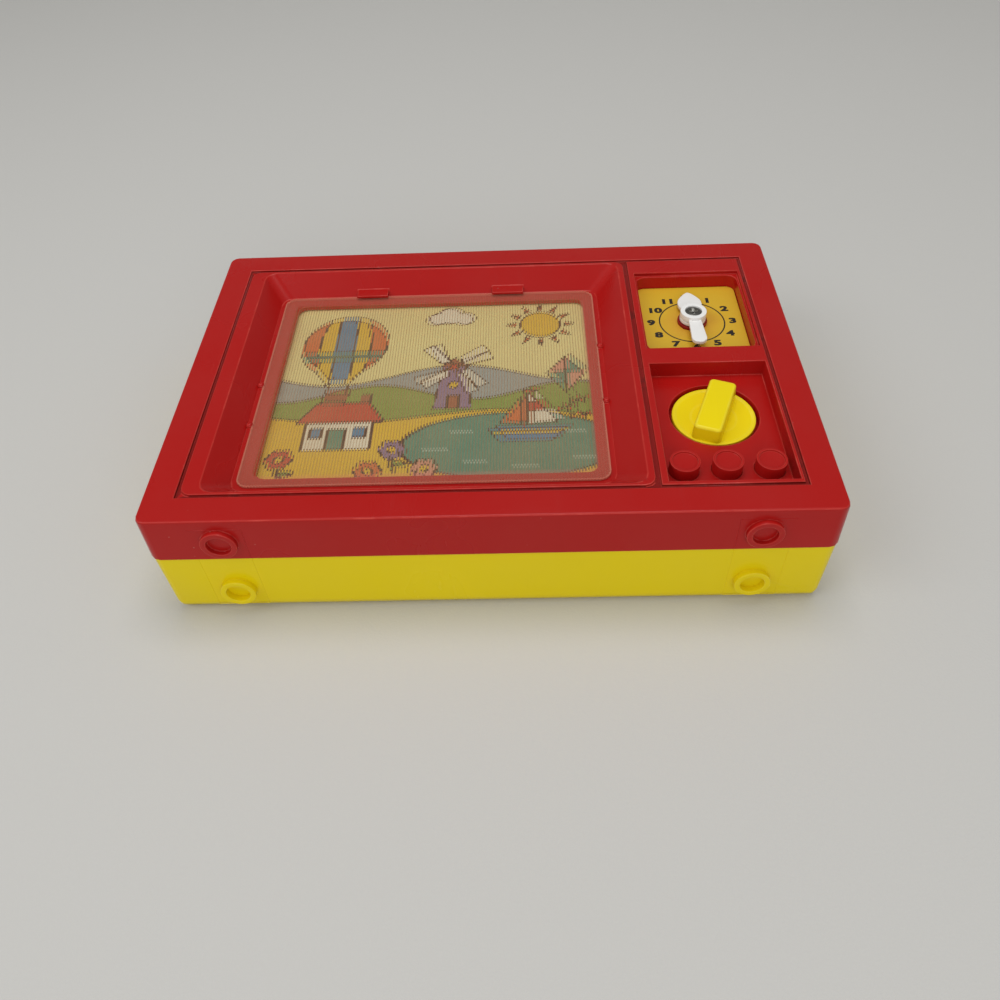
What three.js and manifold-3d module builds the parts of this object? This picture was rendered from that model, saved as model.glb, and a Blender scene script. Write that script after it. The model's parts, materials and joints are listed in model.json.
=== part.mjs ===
// A musical toy television, lying on its back with its screen facing up.
//
// The toy is a red moulded front housing screwed to a yellow rear housing. The front carries a ribbed
// clear sheet over a picture card, a play clock with two loose hands, a winding knob and three buttons.
// Behind the knob hangs a clockwork music movement. Its drum turns a small crank, and the crank
// slides the picture card to and fro behind the ribbed sheet, which makes the picture seem to move.
//
// Millimetres. +X runs to the right of the screen, +Y to its top and +Z out of it, towards the child.
// The origin is the centre of the flat back face.

import * as THREE from 'three';
import { mergeVertices } from 'three/addons/utils/BufferGeometryUtils.js';
import Module from 'manifold-3d';

const wasm = await Module();
wasm.setup();

// Driving dimensions

const gap = 0.3; // air left between two pieces that touch or slide
const running = 0.25; // radial play of a shaft in its hole
const over = 1; // how far a cutting tool runs past the face that it cuts

const casing = {
  rearDepth: 32.4,
  frontDepth: 20.9,
  wall: 2.2,
  frontDraft: 0.4,
  rearDraft: 0.9,
  corner: 3.8,
  backEdge: 4.5,
  frontEdge: 0.9,
  frameBand: 12,
  lipHeight: 1.6,
  lipThick: 1,
};

const groove = { width: 1.4, depth: 1.1, corner: 4, channel: 1.9 };

// The bars between the groove, the clock's recess and the knob's recess
const bars = { top: 11.45, middle: 10.2, bottom: 3.05, left: 2.7, right: 1.2 };

const screen = {
  width: 174.2,
  lipLeft: 6.6,
  lipRight: 2.6,
  lipEnds: 1.15,
  slopeLeft: 7.5,
  slopeRight: 10,
  slopeEnds: 8.3,
  slopeCorner: 5,
  floorDepth: 9,
  floorThick: 2,
  windowCorner: 4,
};

const sheet = {
  sideInset: 2,
  endInset: 1.5,
  overlapLeft: 6.5,
  overlapRight: 4.7,
  overlapEnds: 5,
  corner: 5,
  thick: 0.5,
  ribHeight: 0.35,
  ribPitch: 1.2,
};

const stud = { radius: 1.4, height: 1.5, inset: 0.9 };
const studShares = { left: [-0.016, -0.426], right: [0.328, -0.262] }; // of the sheet's half height
const tab = { width: 14.5, reach: 1.6, thick: 1.1, root: 3 };
const tabShares = [0.284, 0.726]; // of the sheet's width

const dial = {
  height: 55.2,
  ledgeDepth: 1.8,
  ledge: 0.9,
  corner: 4,
  cardDepth: 7.7,
  cardThick: 0.6,
  floorThick: 2,
  bossRadius: 6.5,
  bossHeight: 1.2,
  postRadius: 2.9,
  postFoot: 3,
  pilotRadius: 1,
};

const hands = {
  thick: 1.5,
  hubRadius: 5.7,
  hubRise: 1.3,
  headPocket: 3.9,
  hourLength: 18.2,
  hourWidth: 11.4,
  hourNeck: 5,
  minuteLength: 20.6,
  minuteEnd: 6.4,
  minuteNeck: 5,
  minuteLean: 1,
};
const heartShares = [1.1, 0.8, 0.4]; // of the hour hand's half width: its belly, its brow and near its point

const well = {
  sideMargin: 1.95,
  topMargin: 6.3,
  middleMargin: 6.95,
  bottomMargin: 6.45,
  floorDepth: 7.2,
  floorThick: 2,
};

const knob = {
  radius: 16.5,
  ringGap: 1.4,
  thick: 3,
  sunk: 0.6,
  dish: 0.5,
  collar: 1.8,
  collarDepth: 4.2,
  barInset: 1,
  barWidth: 9.8,
  barDraft: 0.7,
  barCorner: 1.4,
  barTop: 1.4,
  barTurn: -21,
  hubRadius: 5,
  hubDepth: 3.4,
};

const button = {
  radius: 5.65,
  pitch: 16,
  topDepth: 2,
  rimWidth: 0.9,
  rimHeight: 0.5,
  travel: 2,
  flange: 1.1,
  flangeThick: 1.4,
  stemRadius: 1.6,
  count: 3,
};

const buttonPlate = {
  springSpace: 5.4,
  thick: 1.6,
  sideMargin: 0.95,
  endReach: 12,
  screwReach: 8,
  bossRadius: 3,
  bossDrop: 7.8,
};
const coil = { radius: 3.6, wire: 0.6, turns: 4, stepsPerTurn: 7 };

const foot = { outer: 6.75, inner: 4.75, height: 2.2, sideInset: 28.5, fromFront: 11.5, fromBack: 13.3 };

const closing = { bossRadius: 3.6, wellRadius: 4.2, wellWall: 1.5, inset: 10, meetDrop: 6, floor: 9.4 };
const clockScrew = { play: 0.4, crown: 0.6, slot: 0.9 };
const screw = { radius: 1.4, headRadius: 2.6, headHeight: 1.8, shortLength: 7 };

const picture = { cardThick: 0.5, marginX: 3.6, marginY: 3, drop: 0.6, slide: 1.5 };
const slider = {
  marginLeft: 9,
  marginRight: 7.7,
  marginEnds: 6,
  border: 9.6,
  thick: 1.5,
  armRoot: 7.2,
  armEnd: 3,
  armNeck: 2.2,
  armCorner: 1.2,
};
const guide = {
  thick: 1.6,
  under: 2.6,
  reach: 9.6,
  ribThick: 1.6,
  bossRadius: 2.8,
  bossOut: 6.2,
  bossInset: 5.6,
};

// The clockwork. Levels are heights above the top face of its bed plate.
const movement = {
  plate: 1.4,
  topClear: 1,
  edge: 4.9,
  edgeTop: 4.1,
  bottomClear: 2.6,
  bedInset: 2,
  corner: 3,
  pillarRadius: 1.8,
  tenonRadius: 1.1,
  notch: 4,
  earInset: 4,
  earInsetLeft: 6.6,
  earInsetTop: 3.5,
  pillarClear: 1.4,
  pillarDrop: 8.8,
  pillarRise: 19.7,
  bossRadius: 3,
};

const train = {
  barrelTeeth: 40,
  drumPinion: 8,
  barrelModule: 0.9,
  wheelTeeth: 36,
  pinionTeeth: 10,
  wheelModule: 0.5,
  drumDirection: 150,
  middleDirection: 100,
  fanDirection: 20,
  arborRadius: 1.2,
  pivotRadius: 0.8,
};
// Shares of the module (tip and root), of half the tooth pitch (width) and of the tooth's depth (flank)
const toothShares = { tip: 0.8, root: 1.1, width: 0.84, flank: 0.34 };
const halfTurn = 180; // degrees
const level = { barrelGear: 0.8, gearThick: 2, wheelStep: 0.8, wheelThick: 1, drumStep: 0.6 };
const barrel = {
  radius: 11.5,
  wall: 1,
  floor: 1.2,
  height: 12.2,
  lid: 1,
  lidSpigot: 0.8,
  arborHub: 2.6,
  arborFoot: 1.6,
  arborNeck: 2,
};
const strip = { thick: 0.45, turns: 5.5, stepsPerTurn: 10 };
const square = { side: 3.2, play: 0.25, length: 6.4 };
const clutch = { wire: 0.6, turns: 4, stepsPerTurn: 7 };
const drum = {
  radius: 6.8,
  length: 11,
  pinHeight: 0.7,
  pinRadius: 0.35,
  pinSides: 4,
  pins: 29,
  notes: 14,
  noteStep: 5,
};
const comb = { thick: 0.9, tipGap: 0.2, toothLength: 13, base: 7.4, toothWidth: 0.55, blockWidth: 4.5 };
const combScrew = { radius: 1, headRadius: 2.1, headHeight: 1.25, reach: 3.15 };
const combScrewShares = [0.26, 0.74]; // of the drum's length
const crank = { throw: 1.5, pinRadius: 1.25, discRadius: 3.4, discThick: 1.4, pinTop: 2.8, clear: 0.3 };
const fan = { radius: 7, thick: 0.6, hub: 2, height: 10.6 };

const mergeDistance = 0.0003;
const cornerSteps = 3;
const roundSteps = 16;
const knobSteps = 30;
const smallSteps = 8;
const screwSteps = 6;

// Places worked out from the driving dimensions. The case is as large as its contents need.

const knobHole = knob.radius + knob.ringGap;
const wellWidth = (button.count - 1) * button.pitch + 2 * (button.radius + well.sideMargin);
const wellHeight = well.topMargin + knobHole * 2 + well.middleMargin + button.radius * 2 + well.bottomMargin;
const panelsWidth = screen.width + groove.channel + bars.left + wellWidth + bars.right;
const frameX = panelsWidth / 2 + groove.width;
const frameY = (bars.top + dial.height + bars.middle + wellHeight + bars.bottom) / 2;
const halfWidth = frameX + casing.frameBand;
const halfHeight = frameY + casing.frameBand;
const depth = casing.rearDepth + casing.frontDepth;

// A rectangle given by its four sides
const box = (left, right, bottom, top) => {
  const x = (left + right) / 2;
  const y = (bottom + top) / 2;
  return { left, right, bottom, top, x, y };
};
const grown = ({ left, right, bottom, top }, size) =>
  box(left - size, right + size, bottom - size, top + size);

const screenPanel = box(
  -frameX + groove.width,
  -frameX + groove.width + screen.width,
  -frameY + groove.width,
  frameY - groove.width,
);
const controlPanel = box(
  screenPanel.right + groove.channel,
  frameX - groove.width,
  -frameY + groove.width,
  frameY - groove.width,
);
const wellLeft = controlPanel.left + bars.left;
const wellBottom = -frameY + bars.bottom;
const wellBox = box(wellLeft, wellLeft + wellWidth, wellBottom, wellBottom + wellHeight);
const dialBox = box(wellBox.left, wellBox.right, frameY - bars.top - dial.height, frameY - bars.top);
const knobX = wellBox.x;
const knobY = wellBox.top - well.topMargin - knobHole;
const buttonY = wellBox.bottom + well.bottomMargin + button.radius;

const funnelTop = box(
  screenPanel.left + screen.lipLeft,
  screenPanel.right - screen.lipRight,
  screenPanel.bottom + screen.lipEnds,
  screenPanel.top - screen.lipEnds,
);
const funnelFloor = box(
  funnelTop.left + screen.slopeLeft,
  funnelTop.right - screen.slopeRight,
  funnelTop.bottom + screen.slopeEnds,
  funnelTop.top - screen.slopeEnds,
);
const sheetBox = box(
  funnelFloor.left + sheet.sideInset,
  funnelFloor.right - sheet.sideInset,
  funnelFloor.bottom + sheet.endInset,
  funnelFloor.top - sheet.endInset,
);
const windowBox = box(
  sheetBox.left + sheet.overlapLeft,
  sheetBox.right - sheet.overlapRight,
  sheetBox.bottom + sheet.overlapEnds,
  sheetBox.top - sheet.overlapEnds,
);
const sliderBox = box(
  windowBox.left - slider.marginLeft,
  windowBox.right + slider.marginRight,
  windowBox.bottom - slider.marginEnds,
  windowBox.top + slider.marginEnds,
);

const screenFloor = depth - screen.floorDepth;
const screenUnder = screenFloor - screen.floorThick;
const cardTop = depth - dial.cardDepth;
const dialFloor = cardTop - dial.cardThick - gap;
const dialUnder = dialFloor - dial.floorThick;
const bossTop = cardTop + dial.bossHeight;
const hourLow = bossTop + gap;
const minuteLow = hourLow + hands.thick + gap;
const minuteTop = minuteLow + hands.thick + hands.hubRise;
const postTop = minuteLow + hands.thick / 2;
const wellFloor = depth - well.floorDepth;
const wellUnder = wellFloor - well.floorThick;
const skinUnder = depth - groove.depth - casing.wall;
const pictureTop = screenUnder - picture.drop;
const sliderTop = pictureTop - picture.cardThick - gap;
const sliderLow = sliderTop - slider.thick;
const guideTop = sliderLow - gap;
const guideLow = guideTop - guide.thick;

// The crank on the movement's top plate reaches up into the slider. The bed lies a train's height lower.
const topPlateHigh = sliderLow - crank.clear - crank.discThick - gap;
const topPlateLow = topPlateHigh - movement.plate;
const drumWheelLevel = level.barrelGear + level.gearThick + level.wheelStep;
const drumLevel = drumWheelLevel + level.wheelThick + level.drumStep;
const middleWheelLevel = drumLevel + drum.length + level.wheelStep;
const bedTop = topPlateLow - movement.topClear - level.wheelThick - middleWheelLevel;
const bedLow = bedTop - movement.plate;

const buttonLow = wellUnder - gap;
const buttonPlateTop = buttonLow - button.flangeThick - button.travel - buttonPlate.springSpace - gap;
const buttonPlateLow = buttonPlateTop - buttonPlate.thick;
const buttonPlateHalf = button.radius + buttonPlate.sideMargin;
const buttonPlateBossY = buttonY - buttonPlate.bossDrop;

const around = (centre, distance, degrees) => ({
  x: centre.x + distance * Math.cos(THREE.MathUtils.degToRad(degrees)),
  y: centre.y + distance * Math.sin(THREE.MathUtils.degToRad(degrees)),
});
const pitchRadius = (teeth, module) => (teeth * module) / 2;
const tipRadius = (teeth, module) => pitchRadius(teeth, module) + module * toothShares.tip;
const barrelSpan = pitchRadius(train.barrelTeeth + train.drumPinion, train.barrelModule);
const wheelSpan = pitchRadius(train.wheelTeeth + train.pinionTeeth, train.wheelModule);
const barrelTip = tipRadius(train.barrelTeeth, train.barrelModule);
const wheelTip = tipRadius(train.wheelTeeth, train.wheelModule);
const barrelAxis = { x: knobX, y: knobY };
const drumAxis = around(barrelAxis, barrelSpan, train.drumDirection);
const middleAxis = around(drumAxis, wheelSpan, train.middleDirection);
const fanAxis = around(middleAxis, wheelSpan, train.fanDirection);

// The movement's plates reach round its wheels, and leave the plate below the buttons clear
const pillarLeft = drumAxis.x - wheelTip - movement.pillarRadius - movement.pillarClear;
const pillarRight = barrelAxis.x + barrelTip + movement.pillarClear;
const plateBox = box(
  pillarLeft - movement.edge + movement.pillarRadius,
  pillarRight + movement.edge,
  buttonY + buttonPlateHalf + movement.bottomClear,
  fanAxis.y + fan.radius + movement.edgeTop,
);
const pillarPlaces = [
  { x: pillarLeft, y: barrelAxis.y - movement.pillarDrop },
  { x: pillarRight, y: barrelAxis.y - movement.pillarDrop },
  { x: pillarLeft, y: (drumAxis.y + middleAxis.y) / 2 },
  { x: pillarRight, y: barrelAxis.y + movement.pillarRise },
];

// Materials

const paint = (color, roughness, metalness = 0) =>
  new THREE.MeshStandardMaterial({ color: new THREE.Color(...color), roughness, metalness });
const redPlastic = () => paint([0.62, 0.03, 0.03], 0.35);
const yellowPlastic = () => paint([0.9, 0.74, 0.0], 0.35);
const whitePlastic = () => paint([0.92, 0.92, 0.9], 0.4);
const creamPlastic = () => paint([0.86, 0.8, 0.62], 0.5);
const clearPlastic = () => paint([0.85, 0.8, 0.55], 0.15);
const card = () => paint([0.75, 0.5, 0.1], 0.6);
const pictureCard = () => paint([0.85, 0.75, 0.45], 0.6);
const steel = () => paint([0.5, 0.5, 0.5], 0.35, 1);
const darkSteel = () => paint([0.3, 0.3, 0.3], 0.4, 1);
const brass = () => paint([0.75, 0.58, 0.25], 0.35, 1);

// Solids: every shape is a closed mesh, and joins and cuts are made between such meshes

function closedMesh(geometry) {
  let bare = geometry.clone();
  bare.deleteAttribute('normal');
  bare.deleteAttribute('uv');
  bare = mergeVertices(bare, mergeDistance);
  const at = bare.attributes.position;
  const corners = Array.from(bare.index.array);
  const used = [];
  let volume = 0;
  for (let i = 0; i < corners.length; i += 3) {
    const [a, b, c] = corners.slice(i, i + 3);
    if (a === b || b === c || a === c) continue;
    const [p, q, r] = [a, b, c].map((n) => new THREE.Vector3().fromBufferAttribute(at, n));
    volume += p.dot(q.cross(r));
    used.push(a, b, c);
  }
  if (volume < 0) used.reverse();
  return new wasm.Mesh({
    numProp: 3,
    vertProperties: new Float32Array(at.array),
    triVerts: new Uint32Array(used),
  });
}

const solid = (geometry) => new wasm.Manifold(closedMesh(geometry));
const join = (...solids) => solids.reduce((whole, next) => whole.add(next));
const cut = (whole, ...tools) => tools.reduce((left, tool) => left.subtract(tool), whole);
const meet = (first, second) => first.intersect(second);

const group = new THREE.Group();

function piece(name, shape, material) {
  // Flat faces that joins and cuts have split are merged again
  const mesh = shape.asOriginal().simplify(mergeDistance).getMesh();
  const geometry = new THREE.BufferGeometry();
  geometry.setAttribute('position', new THREE.BufferAttribute(new Float32Array(mesh.vertProperties), 3));
  geometry.setIndex(new THREE.BufferAttribute(new Uint32Array(mesh.triVerts), 1));
  geometry.computeVertexNormals();
  const part = new THREE.Mesh(geometry, material);
  part.name = name;
  group.add(part);
}

// Outline of a rectangle with round corners, counterclockwise, always with the same count of points
function roundedRectangle({ left, right, bottom, top }, radius) {
  const points = [];
  const corners = [
    [right - radius, top - radius],
    [left + radius, top - radius],
    [left + radius, bottom + radius],
    [right - radius, bottom + radius],
  ];
  corners.forEach(([x, y], quarter) => {
    for (let step = 0; step <= cornerSteps; step += 1) {
      const angle = (Math.PI / 2) * (quarter + step / cornerSteps);
      points.push(new THREE.Vector2(x + radius * Math.cos(angle), y + radius * Math.sin(angle)));
    }
  });
  return points;
}

function extrude(outline, low, high, holes = []) {
  const shape = outline instanceof THREE.Shape ? outline : new THREE.Shape(outline);
  holes.forEach((hole) => shape.holes.push(new THREE.Path(hole)));
  const geometry = new THREE.ExtrudeGeometry(shape, {
    depth: high - low,
    bevelEnabled: false,
    curveSegments: smallSteps,
  });
  return solid(geometry.translate(0, 0, low));
}

// Straight-sided and round-cornered plates over a rectangle, from one level to another
const block = ({ left, right, bottom, top, x, y }, low, high) =>
  solid(new THREE.BoxGeometry(right - left, top - bottom, high - low).translate(x, y, (low + high) / 2));

const slab = (area, radius, low, high) => extrude(roundedRectangle(area, radius), low, high);

const rod = (x, y, radius, low, high, steps = roundSteps) =>
  solid(
    new THREE.CylinderGeometry(radius, radius, high - low, steps)
      .rotateX(Math.PI / 2)
      .translate(x, y, (low + high) / 2),
  );

const tube = (x, y, outer, inner, low, high, steps = roundSteps) =>
  cut(rod(x, y, outer, low, high, steps), rod(x, y, inner, low - over, high + over, steps));

// A solid of revolution about the upright axis at x, y, from pairs of radius and height
function turned(x, y, profile, steps = roundSteps) {
  const points = profile.map(([radius, height]) => new THREE.Vector2(radius, height));
  const geometry = new THREE.LatheGeometry(points, steps).rotateX(Math.PI / 2);
  return solid(geometry.translate(x, y, 0));
}

// A solid through level outlines of equal point counts, from the lowest to the highest
function loft(rings) {
  const count = rings[0].outline.length;
  const vertices = rings.flatMap(({ outline, z }) => outline.flatMap((point) => [point.x, point.y, z]));
  const faces = [];
  for (let ring = 0; ring + 1 < rings.length; ring += 1) {
    for (let i = 0; i < count; i += 1) {
      const a = ring * count + i;
      const b = ring * count + ((i + 1) % count);
      faces.push(a, b, b + count, a, b + count, a + count);
    }
  }
  const last = (rings.length - 1) * count;
  for (let i = 1; i + 1 < count; i += 1) {
    faces.push(0, i + 1, i, last, last + i, last + i + 1);
  }
  const geometry = new THREE.BufferGeometry();
  geometry.setAttribute('position', new THREE.BufferAttribute(new Float32Array(vertices), 3));
  geometry.setIndex(faces);
  return solid(geometry);
}

const casingBox = box(-halfWidth, halfWidth, -halfHeight, halfHeight);
const casingRing = (inset, z) => ({
  z,
  outline: roundedRectangle(grown(casingBox, -inset), Math.max(casing.corner - inset, casing.frontEdge)),
});

// A screw with a round head, pointing up, its head's underside at the height given
const screwUp = (x, y, headTop, length) =>
  turned(
    x,
    y,
    [
      [0, headTop - screw.headHeight],
      [screw.headRadius, headTop - screw.headHeight],
      [screw.headRadius, headTop],
      [screw.radius, headTop],
      [screw.radius, headTop + length],
      [0, headTop + length],
    ],
    screwSteps,
  );

// Closing screws: six bosses of the front housing meet six deep wells of the rear housing
const closingX = halfWidth - closing.inset;
const closingY = halfHeight - closing.inset;
const closingPlaces = [-closingX, 0, closingX].flatMap((x) => [-closingY, closingY].map((y) => ({ x, y })));
const closingMeet = casing.rearDepth - closing.meetDrop;
const wellDepth = closingMeet - closing.floor;

// Ring feet on the side that the toy stands on. The faces of all four lie in one plane.
const footX = halfWidth - foot.sideInset;
const pairX = [-footX, footX];
const ringFoot = (x, z) => {
  const length = foot.height + casing.wall / 2;
  const section = [
    [foot.inner, 0],
    [foot.outer, 0],
    [foot.outer, length],
    [foot.inner, length],
    [foot.inner, 0],
  ].map(([radius, height]) => new THREE.Vector2(radius, height));
  return solid(new THREE.LatheGeometry(section, roundSteps).translate(x, -halfHeight - foot.height, z));
};

// Front housing

const earX = [plateBox.left + movement.earInsetLeft, plateBox.right - movement.earInset];
const earY = [plateBox.bottom + movement.earInset, plateBox.top - movement.earInsetTop];
const movementPlaces = earX.flatMap((x) => earY.map((y) => ({ x, y })));
const guidePlaces = [sliderBox.bottom - guide.bossOut, sliderBox.top + guide.bossOut].flatMap((y) =>
  [windowBox.left + guide.bossInset, windowBox.right - guide.bossInset].map((x) => ({ x, y })),
);
const buttonX = Array.from(
  { length: button.count },
  (_, i) => wellBox.x + (i - (button.count - 1) / 2) * button.pitch,
);
const buttonPlatePlaces = [
  { x: buttonX[0] - buttonPlate.screwReach, y: buttonPlateBossY },
  { x: buttonX[button.count - 1] + buttonPlate.screwReach, y: buttonPlateBossY },
];
const sheetHalf = (sheetBox.top - sheetBox.bottom) / 2;
const studPlaces = [
  ...studShares.left.map((share) => ({ x: funnelFloor.left + stud.inset, share })),
  ...studShares.right.map((share) => ({ x: funnelFloor.right - stud.inset, share })),
].map(({ x, share }) => ({ x, y: sheetBox.y + share * sheetHalf }));

function funnelOutline(z, grow = 0) {
  const share = (depth - z) / screen.floorDepth;
  const at = (side) => funnelTop[side] + (funnelFloor[side] - funnelTop[side]) * share;
  const now = grown(box(at('left'), at('right'), at('bottom'), at('top')), grow);
  return roundedRectangle(now, screen.slopeCorner);
}

function makeFrontHousing() {
  const low = casing.rearDepth + gap / 2;
  const edge = casing.frontEdge;
  const wall = casing.wall;
  const bend = edge * (1 - Math.SQRT1_2);
  let shell = loft([
    casingRing(-casing.frontDraft, low),
    casingRing(0, depth - edge),
    casingRing(bend, depth - bend),
    casingRing(edge, depth),
  ]);
  // The hollow behind the front, less what the front's recesses and bosses fill
  let hollow = loft([casingRing(wall - casing.frontDraft, low - over), casingRing(wall, skinUnder)]);
  const lipInset = wall - casing.frontDraft - casing.lipThick - gap;
  const relief = loft([casingRing(lipInset, low - over), casingRing(lipInset, low + casing.lipHeight + gap)]);
  const funnelBody = loft([
    { z: screenUnder, outline: funnelOutline(screenFloor, screen.floorThick) },
    { z: depth, outline: funnelOutline(depth, screen.floorThick) },
  ]);
  const dialBody = block(grown(dialBox, wall), dialUnder, depth);
  const wellBody = block(grown(wellBox, wall), wellUnder, depth);
  const knobCollar = rod(knobX, knobY, knobHole + knob.collar, wellFloor - knob.collarDepth, wellFloor);
  const bossAt = (places, radius, bottom, top) =>
    places.map(({ x, y }) => rod(x, y, radius, bottom, top, smallSteps));
  const bosses = [
    ...bossAt(closingPlaces, closing.bossRadius, closingMeet + gap, depth - wall),
    ...bossAt(movementPlaces, movement.bossRadius, topPlateHigh + gap, depth - wall),
    ...bossAt(guidePlaces, guide.bossRadius, guideTop + gap, depth - wall),
    ...bossAt(buttonPlatePlaces, buttonPlate.bossRadius, buttonPlateTop + gap, wellFloor),
    rod(dialBox.x, dialBox.y, dial.postRadius + wall / 2, dialUnder - wall * dial.postFoot, dialFloor),
  ];
  const ribInner = gap;
  const ribOuter = gap + guide.ribThick;
  const sliderRibs = [
    box(windowBox.left, windowBox.right, sliderBox.bottom - ribOuter, sliderBox.bottom - ribInner),
    box(windowBox.left, windowBox.right, sliderBox.top + ribInner, sliderBox.top + ribOuter),
  ].map((area) => block(area, guideTop + gap, screenFloor));
  hollow = cut(hollow, funnelBody, dialBody, wellBody, knobCollar, ...bosses, ...sliderRibs);
  shell = cut(shell, hollow, relief);
  // The closing bosses hang below the parting line, into the rear housing
  shell = join(shell, ...bosses, ...sliderRibs, knobCollar);

  // The screen's funnel and window
  const funnel = loft([
    { z: screenFloor, outline: funnelOutline(screenFloor) },
    { z: depth + over, outline: funnelOutline(depth + over) },
  ]);
  const window = slab(windowBox, screen.windowCorner, screenUnder - over, screenFloor + over);
  // The clock's recess has a shallow square ledge, then a wall with round corners
  const dialLedge = block(dialBox, depth - dial.ledgeDepth, depth + over);
  const dialWell = slab(grown(dialBox, -dial.ledge), dial.corner, dialFloor, depth);
  const knobWell = block(wellBox, wellFloor, depth + over);
  const collarLow = wellFloor - knob.collarDepth;
  const knobBore = rod(knobX, knobY, knobHole, collarLow - over, wellFloor + over, knobSteps);
  const grooveFloor = depth - groove.depth;
  const panels = join(
    slab(screenPanel, groove.corner, grooveFloor - over, depth + over * 2),
    block(controlPanel, grooveFloor - over, depth + over * 2),
  );
  const grooves = cut(block(box(-frameX, frameX, -frameY, frameY), grooveFloor, depth + over), panels);
  shell = cut(shell, funnel, window, dialLedge, dialWell, knobWell, knobBore, grooves);
  const buttonHole = button.radius + gap;
  shell = cut(shell, ...buttonX.map((x) => rod(x, buttonY, buttonHole, wellUnder - over, wellFloor + over)));

  // The clock's post, the studs and hook tabs that hold the ribbed sheet
  const studs = studPlaces.map(({ x, y }) =>
    turned(
      x,
      y,
      [
        [0, screenUnder + screen.floorThick / 2],
        [stud.radius, screenUnder + screen.floorThick / 2],
        [stud.radius, screenFloor + stud.height - stud.radius / 2],
        [stud.radius / 2, screenFloor + stud.height],
        [0, screenFloor + stud.height],
      ],
      smallSteps,
    ),
  );
  const tabLow = screenFloor + gap + sheet.thick + sheet.ribHeight + gap;
  const tabs = tabShares.map((share) => {
    const x = sheetBox.left + share * (sheetBox.right - sheetBox.left);
    const [tip, root] = [sheetBox.top - tab.reach, funnelFloor.top + tab.root];
    return block(box(x - tab.width / 2, x + tab.width / 2, tip, root), tabLow, tabLow + tab.thick);
  });
  shell = join(
    shell,
    rod(dialBox.x, dialBox.y, dial.bossRadius, dialUnder, bossTop),
    rod(dialBox.x, dialBox.y, dial.postRadius, dialUnder, postTop),
    ...studs,
    ...tabs,
  );

  // Pilot holes for the screws
  const pilots = (places, bottom, top) =>
    places.map(({ x, y }) => rod(x, y, screw.radius + running, bottom, top, screwSteps));
  shell = cut(
    shell,
    ...pilots(closingPlaces, closingMeet, skinUnder),
    ...pilots(movementPlaces, topPlateHigh, wellUnder),
    ...pilots(guidePlaces, guideTop, screenUnder + wall),
    ...pilots(buttonPlatePlaces, buttonPlateTop, wellUnder),
    rod(dialBox.x, dialBox.y, dial.pilotRadius + running, dialUnder - wall, depth, screwSteps),
  );
  return join(shell, ...pairX.map((x) => ringFoot(x, depth - foot.fromFront)));
}
piece('front_housing', makeFrontHousing(), redPlastic());

// Rear housing

function makeRearHousing() {
  const high = casing.rearDepth - gap / 2;
  const round = casing.backEdge;
  const draftAt = (z) => casing.rearDraft * (1 - z / casing.rearDepth);
  const bends = Array.from({ length: cornerSteps + 1 }, (_, i) => (Math.PI / 2) * (i / cornerSteps));
  let shell = loft([
    ...bends.map((angle) => {
      const z = round * (1 - Math.cos(angle));
      return casingRing(draftAt(z) + round * (1 - Math.sin(angle)), z);
    }),
    casingRing(0, high),
  ]);
  const wall = casing.wall;
  const wellAt = (radius, bottom, top, steps) =>
    closingPlaces.map(({ x, y }) => rod(x, y, radius, bottom, top, steps));
  const hollow = loft([
    casingRing(draftAt(wall) + wall + round / 2, wall),
    casingRing(draftAt(round) + wall, round),
    casingRing(wall, high + over),
  ]);
  const wells = wellAt(closing.wellRadius + closing.wellWall, 0, closingMeet, smallSteps);
  shell = cut(shell, cut(hollow, ...wells));
  // The locating lip stands inside the front housing's edge
  const lipInset = wall - casing.frontDraft - casing.lipThick;
  const lipLow = high - casing.lipHeight;
  const lipHigh = high + casing.lipHeight;
  const lip = cut(
    loft([casingRing(lipInset, lipLow), casingRing(lipInset, lipHigh)]),
    loft([casingRing(wall, lipLow - over), casingRing(wall, lipHigh + over)]),
  );
  shell = join(shell, lip);
  shell = cut(
    shell,
    ...wellAt(closing.wellRadius, -over, wellDepth, smallSteps),
    ...wellAt(screw.radius + running, 0, closingMeet + over, screwSteps),
  );
  return join(shell, ...pairX.map((x) => ringFoot(x, foot.fromBack)));
}
piece('rear_housing', makeRearHousing(), yellowPlastic());

closingPlaces.forEach(({ x, y }, i) => {
  const length = skinUnder - wellDepth - casing.wall * 2;
  piece(`housing_screw_${i + 1}`, screwUp(x, y, wellDepth - gap, length), steel());
});

// Ribbed sheet over the window

function makeScreenSheet() {
  const low = screenFloor + gap;
  const high = low + sheet.thick;
  const { left, right, bottom, top } = sheetBox;
  const count = Math.round((right - left) / sheet.ribPitch);
  const pitch = (right - left) / count;
  const section = [new THREE.Vector2(left, low), new THREE.Vector2(right, low)];
  for (let i = count; i > 0; i -= 1) {
    section.push(new THREE.Vector2(left + i * pitch, high));
    section.push(new THREE.Vector2(left + i * pitch - pitch / 2, high + sheet.ribHeight));
  }
  section.push(new THREE.Vector2(left, high));
  const ribbed = solid(
    new THREE.ExtrudeGeometry(new THREE.Shape(section), { depth: top - bottom, bevelEnabled: false })
      .rotateX(Math.PI / 2)
      .translate(0, top, 0),
  );
  const outline = slab(sheetBox, sheet.corner, low - over, high + sheet.ribHeight + over);
  const notches = studPlaces.map(({ x, y }) =>
    rod(x, y, stud.radius + gap, low - over, high + over, smallSteps),
  );
  return cut(meet(ribbed, outline), ...notches);
}
piece('screen_sheet', makeScreenSheet(), clearPlastic());

// Picture card on its slider, the slider's guide strips and their screws

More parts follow.
